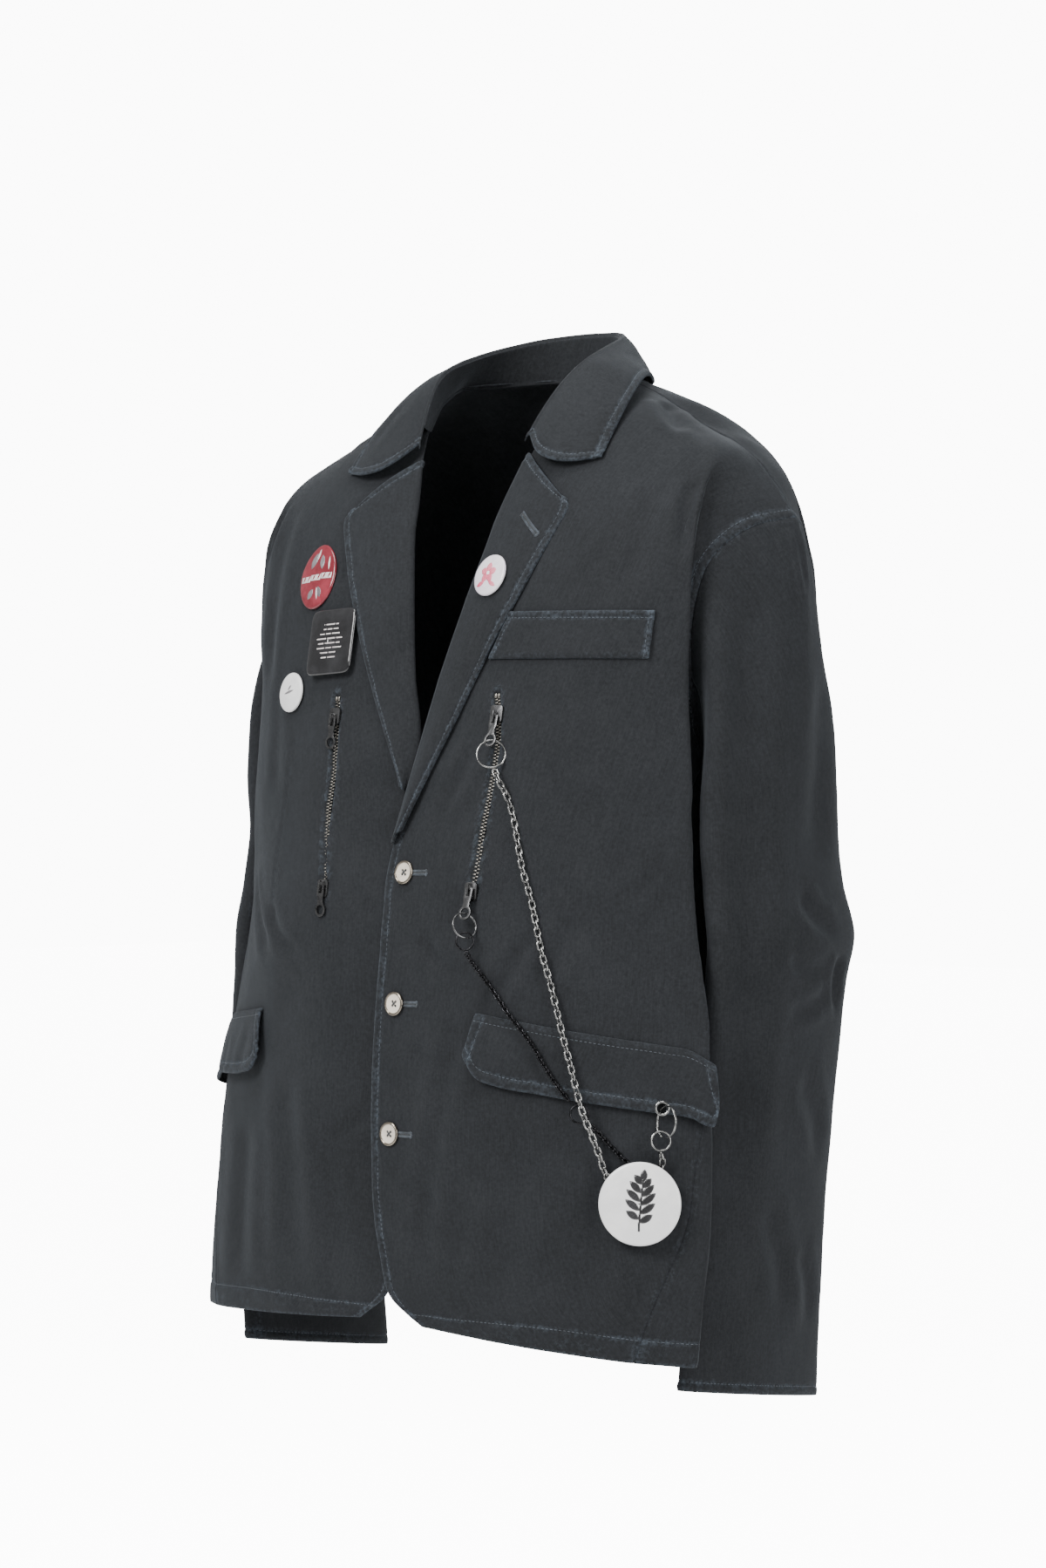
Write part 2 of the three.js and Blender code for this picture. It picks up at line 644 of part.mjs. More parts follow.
function sleevePiece(side, ring, angles) {
  const grid = sleeveRows.map((z) => angles.map((angle) => sleevePoint(side, z, angle)));
  for (const share of capShares) {
    grid.push(ring.map((edge, k) => {
      const low = sleevePoint(side, sleeveRows.at(-1), angles[k]);
      const reach = Math.hypot(...minus(low, edge));
      const outward = Math.max(0, Math.cos(angles[k] * Math.PI / 180));
      const leave = unit([0.28 + 0.6 * (1 - outward) ** 2, 0, -1]);
      const start = plus(edge, leave, armholeTrim);
      const t = share;
      const t2 = t * t;
      const t3 = t2 * t;
      return [0, 1, 2].map((c) => (2 * t3 - 3 * t2 + 1) * start[c]
        + (t3 - 2 * t2 + t) * leave[c] * reach * 0.9
        + (-2 * t3 + 3 * t2) * low[c] + (t3 - t2) * (c === 2 ? -reach : 0));
    }));
  }
  return grid;
}

for (const side of [1, -1]) {
  const { top, under } = sleeveGrids(side);
  addPanel('sleeve_top', side, trim(top, { first: seamTrim, last: seamTrim }),
    { first: column(under, -2), last: column(under, 1) });
  addPanel('sleeve_under', side, trim(under, { first: seamTrim, last: seamTrim }),
    { first: column(top, -2), last: column(top, 1) });
  panels[side].top = top;
  panels[side].under = under;
}

// ---------------------------------------------------------------- lapels and collar
// the lapel from its break up to the gorge: along the roll, and along the outer edge
const lapelRows = [
  { rollX: -14, rollZ: -308, edgeX: -6, edgeZ: -298 },
  { rollX: -7, rollZ: -278, edgeX: 11, edgeZ: -266 },
  { rollX: 4, rollZ: -234, edgeX: 38, edgeZ: -217 },
  { rollX: 16, rollZ: -186, edgeX: 61, edgeZ: -170 },
  { rollX: 28, rollZ: -136, edgeX: 77, edgeZ: -138 },
  { rollX: 39, rollZ: -90, edgeX: 92, edgeZ: -106 },
  { rollX: 47, rollZ: -50, edgeX: 107, edgeZ: -67 },
  { rollX: 53, rollZ: -27, edgeX: 102, edgeZ: -63 },
];
const lapelShares = [0, 0.2, 0.4, 0.6, 0.8, 1];
const lapelRise = 3;            // the lapel stands off the chest midway between roll and edge

// the right lapel ends where the left front covers it
const rightBreak = { rollX: 9, rollZ: -271, edgeX: 13, edgeZ: -265 };

for (const side of [1, -1]) {
  const table = side > 0 ? lapelRows : [rightBreak, ...lapelRows.slice(2)];
  const rows = table.map((r) => lapelShares.map((share) =>
    [lerp(r.rollX + 1, r.edgeX, share), lerp(r.rollZ, r.edgeZ, share)]));
  const grid = laidGrid(side, rows,
    (i, j) => layHeight + lapelRise * Math.sin(Math.PI * lapelShares[j]));
  addPanel('lapel', side, grid, undefined, doubleWall);
  panels[side].lapel = grid;
}

// collar sections from the back centre to the front end: fold line, middle and outer edge
const collarSections = [
  { along: 0, foldX: 0, foldY: 76, foldZ: 76, midX: 0, midY: 87, midZ: 60,
    edgeX: 0, edgeY: 96, edgeZ: 34 },
  { along: 0.2, foldX: 36, foldY: 69, foldZ: 74, midX: 42, midY: 79, midZ: 58,
    edgeX: 47, edgeY: 89, edgeZ: 34 },
  { along: 0.4, foldX: 60, foldY: 43, foldZ: 66, midX: 69, midY: 50, midZ: 54,
    edgeX: 78, edgeY: 57, edgeZ: 36 },
  { along: 0.55, foldX: 68, foldY: 14, foldZ: 56, midX: 84, midY: 19, midZ: 47,
    edgeX: 98, edgeY: 24, edgeZ: 35 },
  { along: 0.7, foldX: 69, foldY: -12, foldZ: 44, midX: 92, midY: -12, midZ: 36,
    edgeX: 114, edgeY: -10, edgeZ: 20 },
  { along: 0.85, foldX: 62, foldY: -36, foldZ: 20, midX: 91, midY: -41, midZ: 9,
    edgeX: 120, edgeY: -36, edgeZ: -4 },
  { along: 1, foldX: 54, foldY: -56, foldZ: -12, midX: 83, midY: -69, midZ: -31,
    edgeX: 122, edgeY: -58, edgeZ: -31 },
];
const collarAcross = [0, 0.25, 0.5, 0.75, 1];
const collarSteps = [0, 0.1, 0.2, 0.3, 0.4, 0.5, 0.6, 0.7, 0.8, 0.9, 1];

function collarPoint(along, across) {
  const s = readTable(collarSections, 'along', Math.abs(along));
  const at = (a, b, c) => (1 - across) ** 2 * a
    + 2 * across * (1 - across) * (2 * b - (a + c) / 2) + across ** 2 * c;
  return [Math.sign(along || 1) * at(s.foldX, s.midX, s.edgeX), at(s.foldY, s.midY, s.edgeY),
    at(s.foldZ, s.midZ, s.edgeZ)];
}
const signedSteps = [...collarSteps.slice(1).map((a) => -a).reverse(), ...collarSteps];
const collarLeaf = [...collarAcross].reverse()
  .map((across) => [...signedSteps].reverse().map((along) => collarPoint(along, across)));
add('collar_leaf', wallGeometry(collarLeaf, doubleWall), twill);

// the stand rises from the neckline to just under the fold
const standRise = [0, 0.5, 1];
function standPoint(along, rise) {
  const fold = collarPoint(along * 0.93, 0);
  const across = Math.abs(along);
  const base = across < 0.5
    ? readTable(backNeck, 'across', across / 0.5)
    : readTable(neckEdge, 'z', lerp(36, -2, (across - 0.5) / 0.5));
  const out = [Math.sign(along || 1) * base.x, base.y, base.z + 1.2];
  const top = plus(fold, [-2.6 * Math.sign(along || 1) * Math.min(1, across * 4), -2.4, -2.2]);
  return mix(out, top, rise);
}
const stand = standRise.map((rise) => [...signedSteps].reverse()
  .map((along) => standPoint(along, rise)));
add('collar_stand', wallGeometry(stand, 1.6), twill);

// ---------------------------------------------------------------- pockets
const flapRows = 4;
const flapColumns = [0, 0.04, 0.12, 0.24, 0.36, 0.48, 0.6, 0.72, 0.84, 0.95, 1];
const flapDepth = 46;
const flapCorner = 0.35;        // share of the depth taken off at the rounded ends
const ringShare = 0.88;         // the eyelet's ring pushes the flap out here
const sewnCloser = 0.75;        // the top edge lies closer to the front
// the right flap begins further out and wraps round the crease onto the underarm panel
const flapSizes = {
  1: { startX: 79, endPlace: 3.93, topStart: -427, topEnd: -461, lean: 8, mouth: 1.5,
    ringRoom: 5.2 },
  [-1]: { startX: 146, endPlace: 5.1, topStart: -432, topEnd: -458, lean: 9, mouth: 5,
    ringRoom: 0 },
};

function flapGrid(side) {
  const size = flapSizes[side];
  const rows = [];
  for (let i = 0; i <= flapRows; i += 1) {
    const down = 1 - i / flapRows;
    rows.push(flapColumns.map((share) => {
      const end = Math.min(share, 1 - share) / 0.12;
      const cut = end < 1 ? flapCorner * (1 - Math.sqrt(1 - (1 - end) ** 2)) : 0;
      const z = lerp(size.topStart, size.topEnd, share) - flapDepth * (1 - cut) * down;
      const start = placeAtX(size.startX - size.lean * down, z);
      return bodyPoint(lerp(start, size.endPlace, share), z);
    }));
  }
  const normals = gridNormals(rows);
  return rows.map((row, i) => row.map((p, j) => {
    const down = 1 - i / flapRows;
    const open = size.mouth * Math.sin(Math.PI * down / 2) * (1 - flapColumns[j] / 2);
    const pushed = size.ringRoom * down * Math.exp(-(((flapColumns[j] - ringShare) / 0.2) ** 2));
    const sewn = i === flapRows ? sewnCloser : 0;
    return plus(p, normals[i][j], layHeight + open + pushed - sewn);
  }));
}
const eyeletPlace = { x: 210, z: -490 };
const eyeletOuter = 5.3;
const eyeletInner = 3.5;

for (const side of [1, -1]) {
  const grid = flapGrid(side);
  panels[side].flap = grid;
  addPanel('flap', side, grid, undefined, doubleWall);
}

const weltCorners = { left: [75, 61], right: [187, 184], top: -143, bottom: -176 };
const weltRows = [0, 0.5, 1].map((up) => [0, 0.2, 0.4, 0.6, 0.8, 1].map((share) => [
  lerp(lerp(weltCorners.left[1], weltCorners.right[1], share),
    lerp(weltCorners.left[0], weltCorners.right[0], share), up),
  lerp(weltCorners.bottom, weltCorners.top, up) - share,
]));
add('breast_welt', wallGeometry(laidGrid(1, weltRows, () => layHeight), doubleWall), twill);

// ---------------------------------------------------------------- hard pieces on the cloth
// a group whose Z axis points away from the cloth and whose Y axis points up along it
function seatOn({ point, normal }, lift, tilt = 0) {
  const group = new THREE.Group();
  const out = new THREE.Vector3(...normal);
  const side = new THREE.Vector3(0, 0, 1).cross(out).normalize();
  const up = out.clone().cross(side);
  group.quaternion.setFromRotationMatrix(new THREE.Matrix4().makeBasis(side, up, out));
  group.position.set(...plus(point, normal, lift));
  group.rotateZ(tilt);
  jacket.add(group);
  return group;
}
function addTo(group, name, geometry, material) {
  const mesh = new THREE.Mesh(geometry, material());
  mesh.name = name;
  group.add(mesh);
  return mesh;
}
const disc = (radius, holes = []) => {
  const shape = new THREE.Shape().absarc(0, 0, radius, 0, 2 * Math.PI);
  for (const [x, y, r] of holes) shape.holes.push(new THREE.Path().absarc(x, y, r, 0, 2 * Math.PI));
  return shape;
};
const raise = (shape, depth, curveSegments = 16) =>
  new THREE.ExtrudeGeometry(shape, { depth, bevelEnabled: false, curveSegments });
const roundedPlate = (width, height, corner) => {
  const shape = new THREE.Shape();
  const x = width / 2 - corner;
  const y = height / 2 - corner;
  shape.absarc(x, y, corner, 0, Math.PI / 2);
  shape.absarc(-x, y, corner, Math.PI / 2, Math.PI);
  shape.absarc(-x, -y, corner, Math.PI, 1.5 * Math.PI);
  shape.absarc(x, -y, corner, 1.5 * Math.PI, 2 * Math.PI);
  return shape;
};
// a ring of round wire about its own Z axis
function wireRing(radius, wire, segments = 18) {
  const profile = [];
  for (let i = 0; i <= 6; i += 1) {
    const turn = i * Math.PI / 3;
    profile.push(new THREE.Vector2(radius + wire * Math.cos(turn), wire * Math.sin(turn)));
  }
  return new THREE.LatheGeometry(profile, segments).rotateX(Math.PI / 2);
}
const onCloth = clothWall / 2 + layGap;
const radians = (degrees) => degrees * Math.PI / 180;

// buttons down the centre front
const buttonLevels = [-329, -423, -516];
const buttonRadius = 8.8;
const buttonThick = 2.8;
buttonLevels.forEach((z, i) => {
  const group = seatOn(onFront(1, 0, z), onCloth);
  const hole = 1.5;
  const shape = disc(buttonRadius, [[hole, hole, 0.8], [-hole, hole, 0.8], [-hole, -hole, 0.8],
    [hole, -hole, 0.8]]);
  addTo(group, `button_${i + 1}`, raise(shape, buttonThick, 8), horn);
});

// eyelet in the left flap: the flap is cut for its barrel
const flapNormals = gridNormals(panels[1].flap);
const eyeletSeat = onPanel(panels[1].flap, flapNormals, eyeletPlace.x, eyeletPlace.z);
const flapLeft = jacket.getObjectByName('flap_left');
const eyeletGroup = seatOn(eyeletSeat, 0);
eyeletGroup.updateMatrixWorld(true);
const drill = raise(disc(eyeletInner + 0.9), 12).translate(0, 0, -6)
  .applyMatrix4(eyeletGroup.matrixWorld);
flapLeft.geometry = toGeometry(toSolid(flapLeft.geometry).subtract(toSolid(drill)));
const eyeletProfile = [[eyeletInner, -0.9], [eyeletInner + 0.6, -0.9], [eyeletInner + 0.6, 1.3],
  [eyeletOuter, 1.3], [eyeletOuter, 1.8], [eyeletInner, 1.8], [eyeletInner, -0.9]]
  .map(([r, h]) => new THREE.Vector2(r, h));
addTo(eyeletGroup, 'eyelet', new THREE.LatheGeometry(eyeletProfile, 24).rotateX(Math.PI / 2),
  silver);

// zip sliders: a plate with a crown over it, and a pull tab whose top bar turns under the crown
const slider = { width: 10.5, length: 13, thick: 2.4, crownWidth: 1.4, crownInside: 2.8,
  crownOutside: 4, crownTop: 2.3, crownBottom: 1.5 };
const tab = { pivotHeight: 1.6, thick: 1.2, top: 0.7, half: 3.4, windowHalf: 1.6, windowTop: -0.7,
  windowBottom: -5.3, shoulderAt: -6.2, waist: 2.6, waistAt: -9.5, eyeAt: -17.5, eyeOuter: 5.2,
  eyeInner: 3.5 };
function sliderGeometry(rise) {
  const { thick, crownWidth, crownInside, crownOutside } = slider;
  const crownHeight = tab.pivotHeight + slider.crownTop;
  const barBottom = tab.pivotHeight + slider.crownBottom;
  const plate = raise(roundedPlate(slider.width, slider.length, 2.5), thick, 4);
  let solid = toSolid(plate.translate(0, rise, 0));
  for (const end of [1, -1]) {
    const post = new THREE.BoxGeometry(crownWidth, crownOutside - crownInside, crownHeight + 0.5)
      .translate(0, end * (crownInside + crownOutside) / 2, thick + crownHeight / 2 - 0.25);
    solid = solid.add(toSolid(post));
  }
  const bar = new THREE.BoxGeometry(crownWidth, 2 * crownOutside, crownHeight - barBottom)
    .translate(0, 0, thick + (crownHeight + barBottom) / 2);
  return toGeometry(solid.add(toSolid(bar)));
}
// the tab hangs from the axis of its top bar, which is its own X axis; lean swings it outwards
function tabGeometry(lean) {
  const joinX = 0.55 * tab.eyeOuter;
  const joinAngle = Math.acos(joinX / tab.eyeOuter);
  const shape = new THREE.Shape();
  shape.moveTo(tab.half, tab.top);
  shape.lineTo(-tab.half, tab.top);
  shape.lineTo(-tab.half, tab.shoulderAt);
  shape.lineTo(-tab.waist, tab.waistAt);
  shape.absarc(0, tab.eyeAt, tab.eyeOuter, Math.PI - joinAngle, 2 * Math.PI + joinAngle);
  shape.lineTo(tab.waist, tab.waistAt);
  shape.lineTo(tab.half, tab.shoulderAt);
  shape.closePath();
  const opening = new THREE.Path();
  opening.moveTo(tab.windowHalf, tab.windowTop);
  opening.lineTo(-tab.windowHalf, tab.windowTop);
  opening.lineTo(-tab.windowHalf, tab.windowBottom);
  opening.lineTo(tab.windowHalf, tab.windowBottom);
  opening.closePath();
  shape.holes.push(opening, new THREE.Path().absarc(0, tab.eyeAt, tab.eyeInner, 0, 2 * Math.PI));
  return raise(shape, tab.thick, 8).translate(0, 0, -tab.thick / 2).rotateX(-radians(lean));
}

const chainGap = 1.2;           // a chain's square end starts this far under its ring
const underRing = {};

// a ring hung by its top: its plane is turned about the upright, swung out from the cloth and
// rolled along the cloth
function hangRing(group, ring, top) {
  const { turn, swing, roll } = ring;
  const out = Math.sin(radians(swing));
  const low = Math.cos(radians(swing));
  const down = [low * Math.sin(radians(roll)), -low * Math.cos(radians(roll)), out];
  const mesh = addTo(group, ring.name, wireRing(ring.radius, ring.wire), ring.metal);
  mesh.position.set(...plus(top, down, ring.radius));
  mesh.rotation.set(-radians(swing), radians(turn), radians(roll), 'ZXY');
  const under = plus(top, down, 2 * ring.radius + ring.wire + chainGap);
  group.updateMatrixWorld(true);
  underRing[ring.name] = group.localToWorld(new THREE.Vector3(...under));
  return plus(top, down, 2 * ring.radius);
}
// rings hung in one another keep this much between the middles of their wires
const linkDepth = (a, b) => a.wire + b.wire + 1.9;

const zipOut = 1 + layGap;      // the slider clears the zip's teeth
// the rings hold the left tabs off the cloth, the right ones lean on it
const zipPulls = [
  { name: 'left_top', side: 1, share: 0.89, rise: 2, lean: 7 },
  { name: 'left_bottom', side: 1, share: 0.02, rise: -1.5, lean: 10 },
  { name: 'right_top', side: -1, share: 0.89, rise: 2, lean: -5 },
  { name: 'right_bottom', side: -1, share: 0.02, rise: -1.5, lean: -5 },
];
const pullGroups = {};
for (const { name, side, share, rise, lean } of zipPulls) {
  const [x, z] = zipPlace(side, share);
  const seat = onFront(side, x, z);
  if (side < 0) {
    seat.point = mirrorPoint(seat.point);
    seat.normal = mirrorPoint(seat.normal);
  }
  const group = seatOn(seat, zipOut);
  addTo(group, `zip_slider_${name}`, sliderGeometry(rise), darkMetal);
  const pull = addTo(group, `zip_pull_${name}`, tabGeometry(lean), darkMetal);
  pull.position.z = slider.thick + tab.pivotHeight;
  pullGroups[name] = { group, eye: [0, tab.eyeAt * Math.cos(radians(lean)),
    pull.position.z - tab.eyeAt * Math.sin(radians(lean))] };
}

// ---------------------------------------------------------------- badges
const onRight = (x, z) => {
  const { point, normal } = onFront(-1, -x, z);
  return { point: mirrorPoint(point), normal: mirrorPoint(normal) };
};
const badgeDisc = (radius, thick) => raise(disc(radius), thick, 14);
const lapelNormals = gridNormals(panels[1].lapel);
addTo(seatOn(onPanel(panels[1].lapel, lapelNormals, 53, -116), doubleWall / 2 + 0.6),
  'badge_lapel', badgeDisc(15.8, 3.4), pinkFace);
addTo(seatOn(onRight(-137, -197), 1.7), 'badge_small', badgeDisc(15, 3.4), whiteFace);
addTo(seatOn(onRight(-93, -161), 4.6, 0.05), 'badge_plate', raise(roundedPlate(46, 50, 4), 3.2, 4),
  blackFace);
// an uneven disc, narrower at its top
const lobed = new THREE.Shape();
const lobeSteps = 28;
for (let i = 0; i < lobeSteps; i += 1) {
  const turn = i * 2 * Math.PI / lobeSteps;
  const narrow = 1 - 0.17 * Math.max(0, Math.sin(turn)) ** 2;
  const x = 19 * narrow * Math.cos(turn);
  const y = 25.5 * Math.sin(turn);
  if (i === 0) lobed.moveTo(x, y);
  else lobed.lineTo(x, y);
}
lobed.closePath();
addTo(seatOn(onRight(-122, -111), 1.6, 0.06), 'badge_lobed', raise(lobed, 3.2), redFace);
const largeBadge = { x: 199, z: -556, lift: 8.7, radius: 29, thick: 5 };
addTo(seatOn(onFront(1, largeBadge.x, largeBadge.z), largeBadge.lift), 'badge_large',
  badgeDisc(largeBadge.radius, largeBadge.thick), whiteFace);

// ---------------------------------------------------------------- rings and chains
const topRing = { name: 'ring_top_pull', radius: 10.2, wire: 0.8, turn: 29, swing: 0, roll: 14,
  metal: silver };
const splitRing = { name: 'ring_split_pull', radius: 9.2, wire: 0.9, turn: 65, swing: 12, roll: 12,
  metal: silver };
const upperBlack = { name: 'ring_black_upper', radius: 6.1, wire: 0.8, turn: 32, swing: 0, roll: 8,
  metal: blackMetal };
const lowerBlack = { name: 'ring_black_lower', radius: 6.4, wire: 0.8, turn: 14, swing: 0, roll: 0,
  metal: blackMetal };
const lowerBlackLift = 9.5;
const eyeRestDrop = 0.3;        // the wire hangs this far under the middle of the tab's eye

const { group: topGroup, eye: topEye } = pullGroups.left_top;
hangRing(topGroup, topRing, plus(topEye, [0, -eyeRestDrop, 0]));
const { group: splitGroup, eye: splitEye } = pullGroups.left_bottom;
const splitLow = hangRing(splitGroup, splitRing, plus(splitEye, [0, -eyeRestDrop, 0]));
hangRing(splitGroup, upperBlack, plus(splitLow, [0, linkDepth(splitRing, upperBlack), 0]));
hangRing(seatOn(onFront(1, 158, -488.5), lowerBlackLift), lowerBlack, [0, 0, 0]);

// the eyelet's ring goes through it and round the flap's lower edge, and carries the side ring
const eyeletRing = { name: 'ring_eyelet', radius: 11, wire: 0.8, turn: -50, swing: 0, roll: 0,
  metal: silver };
const edgeChord = 19;           // from the eyelet down to where the ring passes the flap's edge
const barrelMiddle = 0.45;
const ringOut = Math.sqrt(eyeletRing.radius ** 2 - (edgeChord / 2) ** 2);
const eyeletRingMiddle = [ringOut * Math.cos(radians(eyeletRing.turn)), -edgeChord / 2,
  barrelMiddle - ringOut * Math.sin(radians(eyeletRing.turn))];
const eyeletRingTop = plus(eyeletRingMiddle, [0, eyeletRing.radius, 0]);
const eyeletRingLow = hangRing(eyeletGroup, eyeletRing, eyeletRingTop);
const sideRing = { name: 'ring_side', radius: 6.6, wire: 0.8, turn: 8, swing: 0, roll: 0,
  metal: silver };
const sideShift = 3.6;          // the side ring is drawn this far towards the front
const sideRise = Math.sqrt(sideRing.radius ** 2 - sideShift ** 2);
hangRing(eyeletGroup, sideRing, plus(eyeletRingLow,
  [-sideShift, linkDepth(eyeletRing, sideRing) + sideRing.radius - sideRise, 0]));

// each chain hangs along places on the left front, at a height over the cloth, from and to a ring
const chains = [
  { name: 'chain_silver', from: 'ring_top_pull', to: 'ring_side', width: 5.4, metal: silver,
    steps: 32, route: [
      [86.5, -264, 6.4], [91.5, -273, 4.4], [97, -287, 4], [103, -306, 4], [109.4, -326.3, 4],
      [116, -347, 4], [122, -367.5, 4.2], [127.7, -385, 4.6], [133.2, -402.9, 5.6],
      [139.5, -423, 7.6], [145.8, -443.7, 9.2], [151.5, -463, 10.6], [157.3, -482.5, 13],
      [162, -496, 13.4], [167, -509, 12], [171.5, -522, 8.6], [176.5, -536, 5.6],
      [184, -547, 4.6], [194, -550, 4.6], [202, -545, 4.4], [207, -536, 4.6],
      [209.6, -529, 6]] },
  { name: 'chain_black_upper', from: 'ring_black_upper', width: 4.4, metal: blackMetal,
    steps: 20, route: [
      [78.5, -393, 9], [83.5, -400, 6], [90, -408, 4.8], [98, -417, 6.4], [107, -427, 8],
      [117, -438, 8.8], [126, -450, 9], [133, -461, 9], [141, -473, 9], [147, -481.5, 9],
      [150.5, -485.5, 9]] },
  { name: 'chain_black_lower', width: 4.4, metal: blackMetal, steps: 12, route: [
    [165.5, -503, 6.4], [170, -508, 4.6], [176, -515, 3.6], [182, -521, 3.4], [189, -528, 3.4],
    [196, -534, 3.4]] },
];
for (const chain of chains) {
  const points = chain.route.map(([x, z, lift]) => {
    const { point, normal } = onFront(1, x, z);
    return new THREE.Vector3(...plus(point, normal, lift));
  });
  if (chain.from) points.unshift(underRing[chain.from]);
  if (chain.to) points.push(underRing[chain.to]);
  const path = new THREE.CatmullRomCurve3(points, false, 'centripetal');
  const section = new THREE.Shape();
  for (let i = 0; i < 8; i += 1) {
    const turn = i * Math.PI / 4;
    const at = [chain.width / 2 * Math.cos(turn), chain.width / 2 * Math.sin(turn)];
    if (i === 0) section.moveTo(...at);
    else section.lineTo(...at);
  }
  section.closePath();
  add(chain.name, new THREE.ExtrudeGeometry(section,
    { steps: chain.steps, extrudePath: path, bevelEnabled: false }), chain.metal);
}

export default jacket;
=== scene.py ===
import json
import math
import bpy
import bmesh
import numpy as np
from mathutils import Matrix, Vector

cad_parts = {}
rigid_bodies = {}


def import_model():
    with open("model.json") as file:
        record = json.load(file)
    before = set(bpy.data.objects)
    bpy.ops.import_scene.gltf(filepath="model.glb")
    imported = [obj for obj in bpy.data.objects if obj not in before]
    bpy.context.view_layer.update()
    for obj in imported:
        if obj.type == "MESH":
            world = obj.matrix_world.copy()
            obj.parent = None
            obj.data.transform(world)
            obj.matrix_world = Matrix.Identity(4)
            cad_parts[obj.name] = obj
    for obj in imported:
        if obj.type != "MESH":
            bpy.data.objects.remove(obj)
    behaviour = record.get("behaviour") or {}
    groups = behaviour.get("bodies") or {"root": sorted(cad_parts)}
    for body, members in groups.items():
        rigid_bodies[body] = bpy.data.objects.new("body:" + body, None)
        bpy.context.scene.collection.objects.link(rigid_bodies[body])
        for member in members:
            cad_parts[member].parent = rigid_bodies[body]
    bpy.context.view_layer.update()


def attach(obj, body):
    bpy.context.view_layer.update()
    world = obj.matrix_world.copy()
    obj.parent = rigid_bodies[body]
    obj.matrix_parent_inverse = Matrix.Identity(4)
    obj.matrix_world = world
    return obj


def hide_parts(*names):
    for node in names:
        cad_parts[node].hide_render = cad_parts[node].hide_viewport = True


# A three-button tailored jacket in washed charcoal twill, with zips, hung chains and badges.
# Lengths in the tables are millimetres in the frame's axes, meshes are metres.
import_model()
mm = 0.001
print("frame loaded")

# camera, level and turned 40 degrees to the wearer's left
cameraSetup = {"azimuth": 40, "distance": 3.0, "aimHeight": -0.265, "lens": 92.4, "sensor": 36}


def shown(name, data):
    made = bpy.data.objects.new(name, data)
    bpy.context.scene.collection.objects.link(made)
    return made


def makeCamera(setup):
    data = bpy.data.cameras.new("camera")
    data.lens = setup["lens"]
    data.sensor_width = setup["sensor"]
    data.clip_end = 50
    camera = shown("camera", data)
    turn = math.radians(setup["azimuth"])
    camera.location = (math.sin(turn) * setup["distance"], -math.cos(turn) * setup["distance"],
        setup["aimHeight"])
    camera.rotation_euler = (math.pi / 2, 0, turn)
    bpy.context.scene.camera = camera


makeCamera(cameraSetup)

# the jacket's cut: tables with named columns, first column is the key
bodyColumns = ("z", "frontY", "breastY", "outerY", "creaseX", "creaseY", "sideX", "sideY",
    "rearCreaseX", "rearCreaseY", "bladeY", "rearY")
bodySections = (bodyColumns, [
    (-700, -152, -152, -139, 230, -98, 186, 8, 181, 98, 134, 136),
    (-660, -151, -151, -137, 232, -93, 185, 8, 182, 98, 132, 134),
    (-560, -147, -149, -131, 237, -80, 184, 8, 187, 99, 128, 128),
    (-455, -142, -146, -125, 231, -69, 183, 12, 194, 103, 125, 120),
    (-363, -134, -138, -118, 213, -67, 183, 15, 199, 109, 127, 119),
    (-265, -118, -125, -108, 209, -67, 183, 12, 198, 106, 131, 123),
    (-190, -106, -111, -98, 204, -65, 184, 12, 199, 98, 130, 124),
    (-100, -88, -94, -84, 203, -60, 186, 12, 202, 90, 118, 112)])
neckEdge = (("z", "x", "y"), [
    (-340, -18, -131), (-318, -17, -128), (-280, -7, -121), (-236, 4, -113), (-188, 16, -105),
    (-138, 28, -94), (-90, 39, -81), (-48, 48, -64), (-17, 56, -48), (8, 64, -28), (26, 71, -4),
    (36, 75, 20)])
armholeFront = (("z", "x", "y"), [
    (-300, 185, -26), (-248, 187, -24), (-222, 188, -32), (-190, 192, -42), (-160, 196, -48),
    (-133, 201, -49), (-109, 208, -44), (-91, 219, -28), (-80, 231, -6), (-76, 239, 16)])
armholeRear = (("z", "x", "y"), [
    (-300, 186, 48), (-248, 187, 46), (-222, 188, 54), (-190, 191, 63), (-160, 195, 68),
    (-133, 200, 69), (-109, 208, 63), (-91, 219, 50), (-80, 231, 34), (-76, 239, 16)])
shoulderSeam = (("across", "x", "y", "z"), [
    (0.0, 75, 20, 36), (0.22, 110, 23, 20), (0.46, 151, 22, -5), (0.75, 199, 20, -30),
    (0.88, 221, 18, -52), (1.0, 239, 16, -76)])
backNeck = (("across", "x", "y", "z"), [
    (0.0, 0, 76, 42), (0.5, 42, 67, 42), (0.8, 65, 45, 39), (1.0, 75, 20, 36)])
frontSeam = (("z", "place"), [
    (-700, 2.6), (-660, 2.7), (-560, 3.1), (-455, 3.7), (-415, 4.0), (-363, 4.7), (-330, 5.2),
    (-300, 5.7), (-248, 6.35), (-222, 6.2), (-190, 6.05)])
rearSeam = (("z", "place"), [
    (-700, 10.2), (-660, 10.1), (-455, 9.6), (-363, 9.2), (-300, 8.2), (-248, 7.5), (-222, 7.6),
    (-190, 7.8)])
sleeveSections = (("z", "leftX", "leftY", "rightX", "rightY", "halfX", "halfY"), [
    (-300, 218, 15, 219, 15, 25, 73), (-345, 220, 19, 227, 16, 26, 75),
    (-375, 223, 23, 232, 17, 26, 79), (-410, 220, 20, 236, 16, 25, 75),
    (-455, 218, 17, 240, 15, 24, 74), (-500, 215, 14, 239, 12, 22, 74),
    (-560, 212, 10, 231, 9, 20, 75), (-625, 209, 7, 221, 6, 18, 76),
    (-699, 206, 4, 211, 3, 17, 78)])
